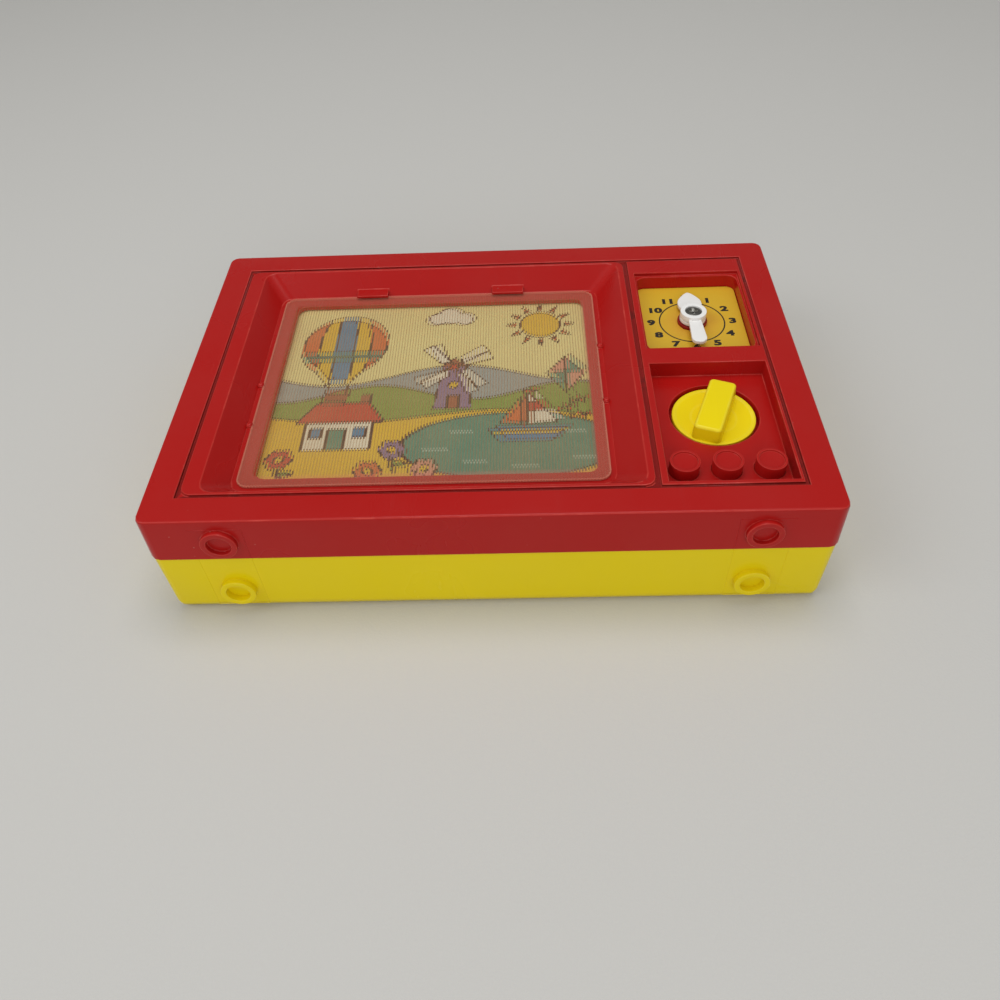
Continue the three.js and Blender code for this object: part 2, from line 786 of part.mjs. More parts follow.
function makePictureSlider() {
  const tray = slab(sliderBox, groove.corner, sliderLow, sliderTop);
  const lid = sliderTop - slider.thick / 2;
  const hollow = slab(grown(sliderBox, -slider.border), groove.corner, sliderLow - over, lid);
  const slotX = picture.slide + crank.throw + crank.pinRadius + gap;
  const slotY = crank.throw + crank.pinRadius + gap;
  const slotBox = box(drumAxis.x - slotX, drumAxis.x + slotX, drumAxis.y - slotY, drumAxis.y + slotY);
  const armBox = box(
    sliderBox.right - slider.armRoot,
    slotBox.right + slider.armEnd,
    slotBox.bottom - slider.armNeck,
    slotBox.top + slider.armNeck,
  );
  const arm = slab(armBox, slider.armCorner, sliderLow, sliderTop);
  return cut(join(tray, arm), hollow, slab(slotBox, gap, sliderLow - over, sliderTop + over));
}
piece('picture_slider', makePictureSlider(), creamPlastic());

const pictureBox = box(
  windowBox.left - picture.marginX,
  windowBox.right + picture.marginX,
  windowBox.bottom - picture.marginY,
  windowBox.top + picture.marginY,
);
piece('picture_card', slab(pictureBox, gap, pictureTop - picture.cardThick, pictureTop), pictureCard());

const stripBoxes = {
  bottom: [sliderBox.bottom - guide.reach, sliderBox.bottom + guide.under],
  top: [sliderBox.top - guide.under, sliderBox.top + guide.reach],
};
Object.entries(stripBoxes).forEach(([end, sides]) => {
  const area = box(windowBox.left, windowBox.right, ...sides);
  const places = guidePlaces.filter(({ y }) => y > area.bottom && y < area.top);
  const holes = places.map(({ x, y }) =>
    rod(x, y, screw.radius + running, guideLow - over, guideTop + over, screwSteps),
  );
  piece(`guide_strip_${end}`, cut(slab(area, guide.thick, guideLow, guideTop), ...holes), creamPlastic());
});
guidePlaces.forEach(({ x, y }, i) => {
  piece(`guide_screw_${i + 1}`, screwUp(x, y, guideLow - gap, screw.shortLength), steel());
});

// Clock card, hands and screw

piece(
  'clock_card',
  cut(
    slab(grown(dialBox, -dial.ledge - gap), dial.corner - gap, cardTop - dial.cardThick, cardTop),
    rod(dialBox.x, dialBox.y, dial.bossRadius + gap, cardTop - dial.cardThick - over, cardTop + over),
  ),
  card(),
);

function makeHourHand() {
  const blade = new THREE.Shape();
  const half = hands.hourWidth / 2;
  const neck = hands.hourNeck / 2;
  const root = hands.hubRadius;
  const tip = hands.hourLength;
  const shoulder = (tip + root) / 2;
  const [belly, brow, point] = heartShares.map((share) => share * half);
  const above = shoulder + neck / 2;
  const below = tip - neck / 2;
  blade.moveTo(-neck, 0);
  blade.lineTo(neck, 0);
  blade.lineTo(neck, root);
  blade.bezierCurveTo(belly, root, belly, shoulder, brow, above);
  blade.quadraticCurveTo(point, below, 0, tip);
  blade.quadraticCurveTo(-point, below, -brow, above);
  blade.bezierCurveTo(-belly, shoulder, -belly, root, -neck, root);
  blade.closePath();
  const flat = extrude(blade, hourLow, hourLow + hands.thick).translate([dialBox.x, dialBox.y, 0]);
  const hub = rod(dialBox.x, dialBox.y, hands.hubRadius, hourLow, hourLow + hands.thick);
  const bore = rod(dialBox.x, dialBox.y, dial.postRadius + running, hourLow - over, minuteLow);
  return cut(join(hub, flat), bore);
}
piece('hour_hand', makeHourHand(), whitePlastic());

function makeMinuteHand() {
  const blade = new THREE.Shape();
  const end = hands.minuteEnd / 2;
  const neck = hands.minuteNeck / 2;
  blade.moveTo(-neck, 0);
  blade.lineTo(-end, end - hands.minuteLength);
  blade.absarc(0, end - hands.minuteLength, end, Math.PI, Math.PI * 2, false);
  blade.lineTo(neck, 0);
  blade.closePath();
  const flat = extrude(blade, minuteLow, minuteLow + hands.thick)
    .rotate([0, 0, hands.minuteLean])
    .translate([dialBox.x, dialBox.y, 0]);
  const hub = rod(dialBox.x, dialBox.y, hands.hubRadius, minuteLow, minuteTop);
  const bore = rod(dialBox.x, dialBox.y, dial.postRadius + running, minuteLow - over, minuteTop + over);
  const pocket = rod(dialBox.x, dialBox.y, hands.headPocket, postTop, minuteTop + over);
  return cut(join(hub, flat), bore, pocket);
}
piece('minute_hand', makeMinuteHand(), whitePlastic());

function makeClockScrew() {
  const headRadius = hands.headPocket - clockScrew.play;
  const headTop = minuteTop - gap;
  const shank = turned(dialBox.x, dialBox.y, [
    [0, dialUnder],
    [dial.pilotRadius, dialUnder + dial.pilotRadius],
    [dial.pilotRadius, postTop + gap],
    [headRadius, postTop + gap],
    [headRadius, headTop - clockScrew.crown],
    [headRadius / 2, headTop],
    [0, headTop],
  ]);
  const arm = headRadius / 2;
  const slotHalf = clockScrew.slot / 2;
  const cross = [
    box(dialBox.x - arm, dialBox.x + arm, dialBox.y - slotHalf, dialBox.y + slotHalf),
    box(dialBox.x - slotHalf, dialBox.x + slotHalf, dialBox.y - arm, dialBox.y + arm),
  ].map((area) => block(area, headTop - clockScrew.slot, headTop + over));
  return cut(shank, ...cross);
}
piece('clock_screw', makeClockScrew(), darkSteel());

// Winding knob: a round plate sunk in its hole, with an upright grip bar

const knobTop = wellFloor - knob.sunk;
const knobLow = knobTop - knob.thick;
const squareBottom = topPlateHigh + gap * 2;

function makeKnob() {
  const plateEdge = knob.radius - gap;
  const plate = turned(
    0,
    0,
    [
      [0, knobLow],
      [knob.radius, knobLow],
      [knob.radius, knobTop - gap],
      [plateEdge, knobTop],
      [plateEdge / 2, knobTop - knob.dish],
      [0, knobTop - knob.dish],
    ],
    knobSteps,
  );
  const barHalfLength = knob.radius - knob.barInset;
  const barBox = box(-knob.barWidth / 2, knob.barWidth / 2, -barHalfLength, barHalfLength);
  const bar = (inset, z) => ({ z, outline: roundedRectangle(grown(barBox, -inset), knob.barCorner) });
  const barTop = depth - knob.barTop;
  const plateMiddle = knobTop - knob.thick / 2;
  const grip = loft([
    bar(-knob.barDraft, plateMiddle),
    bar(0, barTop - gap * 2),
    bar(gap, barTop - gap / 2),
    bar(gap * 2, barTop),
  ]);
  const hubLow = knobLow - knob.hubDepth;
  const hub = rod(0, 0, knob.hubRadius, hubLow, plateMiddle);
  const half = square.side / 2 + square.play;
  const socket = block(box(-half, half, -half, half), hubLow - over, squareBottom + square.length + gap);
  return cut(join(plate, grip, hub), socket)
    .rotate([0, 0, knob.barTurn])
    .translate([knobX, knobY, 0]);
}
piece('winding_knob', makeKnob(), yellowPlastic());

// Buttons with their springs, and the plate that carries the springs

const buttonNames = ['left', 'middle', 'right'];
buttonX.forEach((x, i) => {
  const top = depth - button.topDepth;
  const rim = button.radius - button.rimWidth;
  const flange = button.radius + button.flange;
  piece(
    `button_${buttonNames[i]}`,
    turned(x, buttonY, [
      [0, buttonPlateTop - gap],
      [button.stemRadius, buttonPlateTop - gap],
      [button.stemRadius, buttonLow - button.flangeThick],
      [flange, buttonLow - button.flangeThick],
      [flange, buttonLow],
      [button.radius, buttonLow],
      [button.radius, top - gap],
      [button.radius - gap, top],
      [rim, top],
      [rim, top - button.rimHeight],
      [0, top - button.rimHeight],
    ]),
    redPlastic(),
  );
});

class Helix extends THREE.Curve {
  constructor(radius, low, high, turns) {
    super();
    Object.assign(this, { radius, low, high, turns });
  }
  getPoint(t, target = new THREE.Vector3()) {
    const angle = t * this.turns * Math.PI * 2;
    return target.set(
      this.radius * Math.cos(angle),
      this.radius * Math.sin(angle),
      this.low + (this.high - this.low) * t,
    );
  }
}

function wound({ x, y }, radius, spring, low, high) {
  const section = new THREE.Shape();
  section.absarc(0, 0, spring.wire / 2, 0, Math.PI * 2, false);
  const geometry = new THREE.ExtrudeGeometry(new THREE.Shape(section.getPoints(2).slice(0, -1)), {
    steps: Math.round(spring.turns * spring.stepsPerTurn),
    bevelEnabled: false,
    extrudePath: new Helix(radius, low + spring.wire / 2, high - spring.wire / 2, spring.turns),
  });
  return solid(geometry.translate(x, y, 0));
}

buttonX.forEach((x, i) => {
  const springTop = buttonLow - button.flangeThick - gap;
  piece(
    `button_spring_${buttonNames[i]}`,
    wound({ x, y: buttonY }, coil.radius, coil, buttonPlateTop + gap, springTop),
    steel(),
  );
});

const buttonPlateBox = box(
  buttonX[0] - buttonPlate.endReach,
  buttonX[button.count - 1] + buttonPlate.endReach,
  buttonPlateBossY - buttonPlate.bossRadius,
  buttonY + buttonPlateHalf,
);
const plateHole = ({ x, y }, radius, steps) =>
  rod(x, y, radius + running, buttonPlateLow - over, buttonPlateTop + over, steps);
piece(
  'button_plate',
  cut(
    slab(buttonPlateBox, buttonPlate.thick, buttonPlateLow, buttonPlateTop),
    ...buttonX.map((x) => plateHole({ x, y: buttonY }, button.stemRadius, smallSteps)),
    ...buttonPlatePlaces.map((place) => plateHole(place, screw.radius, screwSteps)),
  ),
  creamPlastic(),
);
buttonPlatePlaces.forEach(({ x, y }, i) => {
  piece(`button_plate_screw_${i + 1}`, screwUp(x, y, buttonPlateLow - gap, screw.shortLength), steel());
});

// Clockwork music movement

// Outline of a toothed wheel, with one tooth pointing along the angle given
function toothedOutline(teeth, module, firstTooth) {
  const pitch = pitchRadius(teeth, module);
  const tip = tipRadius(teeth, module);
  const root = pitch - module * toothShares.root;
  const toothHalf = (Math.PI / teeth / 2) * toothShares.width;
  const tipHalf = toothHalf - ((tip - pitch) * toothShares.flank) / pitch;
  const rootHalf = toothHalf + ((pitch - root) * toothShares.flank) / pitch;
  const start = THREE.MathUtils.degToRad(firstTooth);
  const flanks = [
    [root, -rootHalf],
    [tip, -tipHalf],
    [tip, tipHalf],
    [root, rootHalf],
  ];
  return Array.from({ length: teeth }, (_, i) => start + (i * Math.PI * 2) / teeth).flatMap((centre) =>
    flanks.map(([radius, turn]) => {
      const angle = centre + turn;
      return new THREE.Vector2(radius * Math.cos(angle), radius * Math.sin(angle));
    }),
  );
}

const wheel = (axis, teeth, module, firstTooth, low, high) =>
  extrude(toothedOutline(teeth, module, firstTooth), low, high).translate([axis.x, axis.y, 0]);
const halfTooth = (teeth) => halfTurn / teeth;

const drumLow = bedTop + drumLevel;
const combTip = drumAxis.y - drum.radius - drum.pinHeight - comb.tipGap;
const combFar = combTip - comb.toothLength - comb.base;
const combScrewLevels = combScrewShares.map((share) => drumLow + share * drum.length);

// Holes through a plate of the movement, with running play round what passes
const holesFor = (places, radius, low, high, steps = smallSteps) =>
  places.map(({ x, y }) => rod(x, y, radius + running, low - over, high + over, steps));

function makeBed() {
  const inset = movement.bedInset;
  const bedBox = box(
    plateBox.left,
    plateBox.right - inset,
    plateBox.bottom + inset,
    pillarPlaces[pillarPlaces.length - 1].y + movement.edge * 2,
  );
  const bed = slab(bedBox, movement.corner, bedLow, bedTop);
  const plateMiddle = (bedLow + bedTop) / 2;
  const pillars = pillarPlaces.map(({ x, y }) =>
    turned(
      x,
      y,
      [
        [0, plateMiddle],
        [movement.pillarRadius, plateMiddle],
        [movement.pillarRadius, topPlateLow - gap],
        [movement.tenonRadius, topPlateLow - gap],
        [movement.tenonRadius, topPlateHigh],
        [0, topPlateHigh],
      ],
      smallSteps,
    ),
  );
  const combX = drumAxis.x - comb.thick / 2 - gap;
  const blockBox = box(combX - comb.blockWidth, combX, combFar, combFar + comb.base - gap);
  const combBlock = block(blockBox, plateMiddle, drumLow + drum.length);
  const notches = movementPlaces.map(({ x, y }) => rod(x, y, movement.notch, bedLow - over, bedTop + over));
  const pivots = holesFor([barrelAxis, drumAxis, middleAxis, fanAxis], train.pivotRadius, bedLow, bedTop);
  const screwHoles = combScrewLevels.map((height) =>
    sideways(combScrew.radius + running, combX - combScrew.reach, combX + over, height),
  );
  return cut(join(bed, ...pillars, combBlock), ...notches, ...pivots, ...screwHoles);
}

// A rod along X through the middle of the comb's base
function sideways(radius, fromX, toX, height) {
  return solid(
    new THREE.CylinderGeometry(radius, radius, toX - fromX, screwSteps)
      .rotateZ(Math.PI / 2)
      .translate((fromX + toX) / 2, combFar + comb.base / 2, height),
  );
}
piece('movement_bed', makeBed(), steel());

piece(
  'movement_top_plate',
  cut(
    slab(plateBox, movement.corner, topPlateLow, topPlateHigh),
    ...holesFor(pillarPlaces, movement.tenonRadius, topPlateLow, topPlateHigh),
    ...holesFor(movementPlaces, screw.radius, topPlateLow, topPlateHigh, screwSteps),
    ...holesFor([middleAxis, fanAxis], train.pivotRadius, topPlateLow, topPlateHigh),
    ...holesFor([drumAxis], train.arborRadius, topPlateLow, topPlateHigh),
    ...holesFor([barrelAxis], barrel.arborNeck, topPlateLow, topPlateHigh),
  ),
  steel(),
);
movementPlaces.forEach(({ x, y }, i) => {
  piece(`movement_screw_${i + 1}`, screwUp(x, y, topPlateLow - gap, screw.shortLength), steel());
});

// Spring barrel, its lid, the mainspring and the winding arbor

const gearLow = bedTop + level.barrelGear;
const gearHigh = gearLow + level.gearThick;
const barrelHigh = gearLow + barrel.height;
const barrelFloor = gearLow + barrel.floor;
const barrelInside = barrel.radius - barrel.wall;
const lidLow = barrelHigh + gap;
const lidHigh = lidLow + barrel.lid;
const spigotLow = lidLow - gap - barrel.lidSpigot;
const atBarrel = (radius, low, high, steps) => rod(barrelAxis.x, barrelAxis.y, radius, low, high, steps);

piece(
  'spring_barrel',
  cut(
    join(
      wheel(barrelAxis, train.barrelTeeth, train.barrelModule, train.drumDirection, gearLow, gearHigh),
      atBarrel(barrel.radius, gearLow, barrelHigh),
    ),
    atBarrel(barrelInside, barrelFloor, barrelHigh + over),
    atBarrel(barrel.arborFoot + running, gearLow - over, barrelHigh, smallSteps),
  ),
  brass(),
);
piece(
  'barrel_lid',
  cut(
    join(atBarrel(barrel.radius, lidLow, lidHigh), atBarrel(barrelInside - gap, spigotLow, lidLow)),
    atBarrel(barrel.arborNeck + running, spigotLow - over, lidHigh + over, smallSteps),
  ),
  brass(),
);

function makeMainspring() {
  const inner = barrel.arborHub + gap + strip.thick / 2;
  const outer = barrelInside - gap - strip.thick / 2;
  const steps = Math.round(strip.turns * strip.stepsPerTurn);
  const side = (offset) =>
    Array.from({ length: steps + 1 }, (_, i) => {
      const radius = inner + ((outer - inner) * i) / steps + offset;
      const angle = (i / strip.stepsPerTurn) * Math.PI * 2;
      return new THREE.Vector2(radius * Math.cos(angle), radius * Math.sin(angle));
    });
  const outline = [...side(strip.thick / 2), ...side(-strip.thick / 2).reverse()];
  return extrude(outline, barrelFloor + gap, spigotLow - gap).translate([barrelAxis.x, barrelAxis.y, 0]);
}
piece('mainspring', makeMainspring(), darkSteel());

function makeWindingArbor() {
  const round = turned(
    0,
    0,
    [
      [0, bedLow],
      [train.pivotRadius, bedLow],
      [train.pivotRadius, bedTop + gap],
      [barrel.arborFoot, bedTop + gap],
      [barrel.arborFoot, barrelFloor + gap],
      [barrel.arborHub, barrelFloor + gap],
      [barrel.arborHub, spigotLow - gap],
      [barrel.arborNeck, spigotLow - gap],
      [barrel.arborNeck, squareBottom],
      [0, squareBottom],
    ],
    smallSteps,
  );
  const half = square.side / 2;
  const end = block(box(-half, half, -half, half), squareBottom - gap, squareBottom + square.length);
  return join(round, end)
    .rotate([0, 0, knob.barTurn])
    .translate([barrelAxis.x, barrelAxis.y, 0]);
}
piece('winding_arbor', makeWindingArbor(), steel());

const clutchRadius = barrel.arborNeck + gap + clutch.wire / 2;
piece('one_way_spring', wound(barrelAxis, clutchRadius, clutch, lidHigh + gap, topPlateLow - gap), steel());

// Music drum with its pins, on an arbor that carries a pinion, a wheel and the crank

const notePitch = drum.length / drum.notes;
const noteLevel = (note) => drumLow + note * notePitch + notePitch / 2;

function makeDrum() {
  const drumHigh = drumLow + drum.length;
  let body = tube(drumAxis.x, drumAxis.y, drum.radius, train.arborRadius + gap, drumLow, drumHigh);
  for (let i = 0; i < drum.pins; i += 1) {
    const note = (i * drum.noteStep + Math.floor(i / drum.notes)) % drum.notes;
    const turn = (i * Math.PI * 2) / drum.pins;
    const pin = solid(
      new THREE.CylinderGeometry(drum.pinRadius, drum.pinRadius, drum.pinHeight * 2, drum.pinSides)
        .rotateZ(-Math.PI / 2)
        .translate(drum.radius, 0, 0)
        .rotateZ(turn)
        .translate(drumAxis.x, drumAxis.y, noteLevel(note)),
    );
    body = join(body, pin);
  }
  return body;
}
piece('music_drum', makeDrum(), brass());

// An arbor from the bed plate up, with the radius and the top of its upper part given
const shaft = (axis, upper, top) =>
  turned(
    axis.x,
    axis.y,
    [
      [0, bedLow],
      [train.pivotRadius, bedLow],
      [train.pivotRadius, bedTop + gap],
      [train.arborRadius, bedTop + gap],
      [train.arborRadius, topPlateLow - gap],
      [upper, topPlateLow - gap],
      [upper, top],
      [0, top],
    ],
    smallSteps,
  );
// Each pinion has a tooth gap where the wheel that it meets has a tooth
const pinion = (axis, teeth, module, direction, low, high) =>
  wheel(axis, teeth, module, direction + halfTurn + halfTooth(teeth), low - gap, high + gap);
const trainWheel = (axis, direction, low) =>
  cut(
    wheel(axis, train.wheelTeeth, train.wheelModule, direction, low, low + level.wheelThick),
    rod(axis.x, axis.y, train.arborRadius + gap, low - over, low + level.wheelThick + over, smallSteps),
  );
const drumWheelLow = bedTop + drumWheelLevel;
const middleWheelLow = bedTop + middleWheelLevel;
const smallPinion = (axis, direction, low) =>
  pinion(axis, train.pinionTeeth, train.wheelModule, direction, low, low + level.wheelThick);

const crankLow = topPlateHigh + gap;
const crankHigh = crankLow + crank.discThick;
piece(
  'drum_arbor',
  join(
    shaft(drumAxis, train.arborRadius, crankLow + crank.discThick / 2),
    pinion(drumAxis, train.drumPinion, train.barrelModule, train.drumDirection, gearLow, gearHigh),
  ),
  steel(),
);
piece('drum_wheel', trainWheel(drumAxis, train.middleDirection, drumWheelLow), brass());

// The crank's disc is bored from below for the arbor, and its pin stands off the middle
const crankBore = crankLow + crank.discThick / 2 + gap;
const crankPinTop = crankHigh + crank.pinTop;
piece(
  'picture_crank',
  cut(
    join(
      rod(drumAxis.x, drumAxis.y, crank.discRadius, crankLow, crankHigh),
      rod(drumAxis.x, drumAxis.y + crank.throw, crank.pinRadius, crankBore + gap, crankPinTop, smallSteps),
    ),
    rod(drumAxis.x, drumAxis.y, train.arborRadius + gap, crankLow - over, crankBore, smallSteps),
  ),
  steel(),
);

// Middle arbor and air fan

piece(
  'middle_arbor',
  join(
    shaft(middleAxis, train.pivotRadius, topPlateHigh),
    smallPinion(middleAxis, train.middleDirection, drumWheelLow),
  ),
  steel(),
);
piece('middle_wheel', trainWheel(middleAxis, train.fanDirection, middleWheelLow), brass());
piece(
  'fan_arbor',
  join(
    shaft(fanAxis, train.pivotRadius, topPlateHigh),
    smallPinion(fanAxis, train.fanDirection, middleWheelLow),
  ),
  steel(),
);
const fanBox = box(
  fanAxis.x - fan.radius,
  fanAxis.x + fan.radius,
  fanAxis.y - fan.thick / 2,
  fanAxis.y + fan.thick / 2,
);
piece(
  'fan_blade',
  cut(
    join(
      rod(fanAxis.x, fanAxis.y, fan.hub, drumLow, drumLow + fan.height, smallSteps),
      block(fanBox, drumLow + fan.thick, drumLow + fan.height - fan.thick),
    ),
    rod(fanAxis.x, fanAxis.y, train.arborRadius + gap, bedTop, topPlateLow, smallSteps),
  ),
  creamPlastic(),
);

// Tone comb: steel teeth that the drum's pins pluck

function makeComb() {
  const [left, right] = [drumAxis.x - comb.thick / 2, drumAxis.x + comb.thick / 2];
  const base = block(box(left, right, combFar, combFar + comb.base), drumLow, drumLow + drum.length);
  const toothBox = box(left, right, combFar + comb.base - gap, combTip);
  const teeth = Array.from({ length: drum.notes }, (_, note) =>
    block(toothBox, noteLevel(note) - comb.toothWidth / 2, noteLevel(note) + comb.toothWidth / 2),
  );
  const holes = combScrewLevels.map((height) =>
    sideways(combScrew.radius + running, left - over, right + over, height),
  );
  return cut(join(base, ...teeth), ...holes);
}
piece('tone_comb', makeComb(), steel());
combScrewLevels.forEach((height, i) => {
  const seat = drumAxis.x + comb.thick / 2 + gap;
  piece(
    `comb_screw_${i + 1}`,
    join(
      sideways(combScrew.radius, seat - combScrew.reach - comb.thick, seat + gap, height),
      sideways(combScrew.headRadius, seat, seat + combScrew.headHeight, height),
    ),
    steel(),
  );
});

export default group;
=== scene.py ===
# %% [markdown]
# A musical toy television lies on its back on a pale floor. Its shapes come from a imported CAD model,
# which is loaded here as a fixed frame: every part already stands where it belongs, in metres. This
# script dresses that frame. It rounds the moulded edges, cuts the ribs of the clear sheet, prints the
# clock and the picture, and gives each piece the finish of the material that it is made of.

# %% Load the frame
import json
import math

import bmesh
import bpy
import numpy as np
from mathutils import Matrix, Vector


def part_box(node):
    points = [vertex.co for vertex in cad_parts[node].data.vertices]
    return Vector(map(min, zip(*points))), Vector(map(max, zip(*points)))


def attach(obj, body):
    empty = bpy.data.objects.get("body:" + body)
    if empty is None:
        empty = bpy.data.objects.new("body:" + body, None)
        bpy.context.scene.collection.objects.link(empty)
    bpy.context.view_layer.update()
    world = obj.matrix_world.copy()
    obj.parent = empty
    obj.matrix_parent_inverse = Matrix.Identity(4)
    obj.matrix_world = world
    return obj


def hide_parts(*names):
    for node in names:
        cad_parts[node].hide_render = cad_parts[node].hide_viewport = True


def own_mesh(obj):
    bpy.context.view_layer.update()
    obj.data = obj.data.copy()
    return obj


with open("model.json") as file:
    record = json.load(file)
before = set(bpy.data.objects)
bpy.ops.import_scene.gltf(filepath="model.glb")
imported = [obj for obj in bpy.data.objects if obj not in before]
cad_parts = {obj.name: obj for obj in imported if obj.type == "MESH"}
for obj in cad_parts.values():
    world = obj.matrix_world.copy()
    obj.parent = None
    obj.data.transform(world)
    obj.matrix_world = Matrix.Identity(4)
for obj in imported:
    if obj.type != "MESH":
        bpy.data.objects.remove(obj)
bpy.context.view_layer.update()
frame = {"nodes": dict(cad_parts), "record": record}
nodes = frame["nodes"]
MM = 0.001

# %% [markdown]
# The camera stands where the photograph was taken from, in front of the toy and above it. Its place and
# its axes were solved from the corners of the case. Its axes are the first three columns of the matrix:
# to the right of the image, up the image, and back towards the photographer.

# %% Camera
camera_data = bpy.data.cameras.new("camera")
camera_data.sensor_width = 36
camera_data.lens = 31.9
camera = bpy.data.objects.new("camera", camera_data)
camera.matrix_world = Matrix((
    (0.99927, 0.02126, 0.03188, 0.01425),
    (0.00581, 0.73823, -0.67452, -0.29110),
    (-0.03788, 0.67421, 0.73757, 0.28651),
    (0, 0, 0, 1),
))
bpy.context.scene.collection.objects.link(camera)
bpy.context.scene.camera = camera
print("camera looks down by", round(math.degrees(math.asin(camera.matrix_world[2][2]))), "degrees")

# %% [markdown]
# Light comes from a pale world and from three large soft lamps. The world alone would show every colour
# as it is written, but flatly. So it gives less than half of the light and the lamps give the rest: one
# overhead, one at the left that shapes the recesses, and a weak one in front. None stands behind the toy
# at the height where its glossy face would mirror it to the camera, because a mirrored lamp washes the
# red out.

# %% Light
TOY_MIDDLE = (0, 0, 0.03)
WORLD_STRENGTH = 0.38
scene = bpy.context.scene
scene.view_settings.view_transform = "Standard"


def soft_lamp(name, place, size, power):
    data = bpy.data.lights.new(name, "AREA")
    data.shape = "RECTANGLE"
    data.size, data.size_y = size
    data.energy = power
    lamp = bpy.data.objects.new(name, data)
    lamp.location = place
    lamp.rotation_euler = (Vector(TOY_MIDDLE) - Vector(place)).to_track_quat("-Z", "Y").to_euler()
    scene.collection.objects.link(lamp)


soft_lamp("overhead_lamp", (0.05, 0.12, 1.25), (0.7, 0.5), 5.4)
soft_lamp("left_lamp", (-0.8, -0.45, 0.95), (0.8, 0.6), 3.2)
soft_lamp("front_lamp", (0.2, -1.1, 0.6), (0.9, 0.4), 3.0)
world = bpy.data.worlds.new("pale_room")
world.use_nodes = True
background = world.node_tree.nodes["Background"]
background.inputs["Color"].default_value = (1, 1, 1, 1)
background.inputs["Strength"].default_value = WORLD_STRENGTH
scene.world = world

# %% [markdown]
# The toy lies on a plain pale floor that bends up into a backdrop far behind it, as a sheet of paper does
# in a studio. One strip of mesh, swept round a quarter circle, makes both without a visible corner.

# %% Floor and backdrop
FLOOR_DROP = 0.1 * MM
FLOOR_HALF = 3.0
FLOOR_FRONT = -2.5
BEND_START = 0.9
BEND_RADIUS = 0.6
BACKDROP_TOP = 2.5


def sweep_profile():
    points = [(FLOOR_FRONT, 0.0), (BEND_START, 0.0)]
    steps = 16
    for i in range(1, steps + 1):
        angle = math.pi / 2 * i / steps
        points.append((
            BEND_START + BEND_RADIUS * math.sin(angle),
            BEND_RADIUS * (1 - math.cos(angle)),
        ))
    points.append((BEND_START + BEND_RADIUS, BACKDROP_TOP))
    return points


profile = sweep_profile()
vertices = [(x, y, z) for y, z in profile for x in (-FLOOR_HALF, FLOOR_HALF)]
faces = [(2 * i, 2 * i + 1, 2 * i + 3, 2 * i + 2) for i in range(len(profile) - 1)]
floor_mesh = bpy.data.meshes.new("floor")
floor_mesh.from_pydata(vertices, [], faces)
for face in floor_mesh.polygons:
    face.use_smooth = True
floor = bpy.data.objects.new("floor", floor_mesh)
floor.location.z = -FLOOR_DROP
scene.collection.objects.link(floor)
print("floor and backdrop faces:", len(floor_mesh.polygons))

# %% [markdown]
# Colours are written as the eye reads them on a screen, from 0 to 255, because that is how they compare
# with a photograph. Blender calculates with linear light, so one helper converts them. Materials, shader
# groups and Geometry Nodes are all trees of nodes, so one small class holds the steps that each of them
# needs.

# %% Colours and helpers for node trees


def rgb(red, green, blue):
    def linear(value):
        share = value / 255
        return share / 12.92 if share <= 0.04045 else ((share + 0.055) / 1.055) ** 2.4

    return (linear(red), linear(green), linear(blue), 1.0)


class Nodes:
    """Short ways to build a tree. A value is a number, a colour or a vector, or else an output to join."""

    def __init__(self, tree):
        self.tree = tree

    def add(self, kind, **settings):
        node = self.tree.nodes.new(kind)
        for key, value in settings.items():
            setattr(node, key, value)
        return node

    def join(self, value, socket):
        if isinstance(value, bpy.types.NodeSocket):
            self.tree.links.new(value, socket)
        else:
            socket.default_value = value

    def made(self, kind, output, settings=None, **inputs):
        """One output of a new node with named inputs. A list joins several values to one input."""
        node = self.add(kind, **(settings or {}))
        for key, value in inputs.items():
            for entry in value if isinstance(value, list) else [value]:
                self.join(entry, node.inputs[key.replace("_", " ")])
        return node.outputs[output]

    def fed(self, kind, *values, **settings):
        """The outputs of a new node whose first inputs get these values."""
        node = self.add(kind, **settings)
        for value, socket in zip(values, node.inputs):
            self.join(value, socket)
        return node.outputs

    def number(self, operation, *values):
        return self.fed("ShaderNodeMath", *values, operation=operation)["Value"]

    def vector(self, x, y, z):
        return self.fed("ShaderNodeCombineXYZ", x, y, z)["Vector"]

    def vectors(self, operation, *values):
        outputs = self.fed("ShaderNodeVectorMath", *values, operation=operation)
        return outputs["Value" if operation == "LENGTH" else "Vector"]

    def split(self, vector):
        return self.fed("ShaderNodeSeparateXYZ", vector)

    def noise(self, place, scale, detail=2.0):
        node = self.add("ShaderNodeTexNoise")
        self.join(place, node.inputs["Vector"])
        node.inputs["Scale"].default_value = scale
        node.inputs["Detail"].default_value = detail
        return node.outputs["Fac"]

    def ranged(self, value, low, high, start=0.0, end=1.0, **settings):
        """A value stretched so that low becomes start and high becomes end."""
        node = self.add("ShaderNodeMapRange", **settings)
        for key, setting in (("From Min", low), ("From Max", high), ("To Min", start), ("To Max", end)):
            node.inputs[key].default_value = setting
        self.join(value, node.inputs["Value"])
        return node.outputs["Result"]

    def mixed(self, share, first, second):
        """A colour between two others, by a share from 0 to 1."""
        node = self.add("ShaderNodeMix", data_type="RGBA")
        for key, value in (("Factor", share), ("A", first), ("B", second)):
            self.join(value, node.inputs[key])
        return node.outputs["Result"]


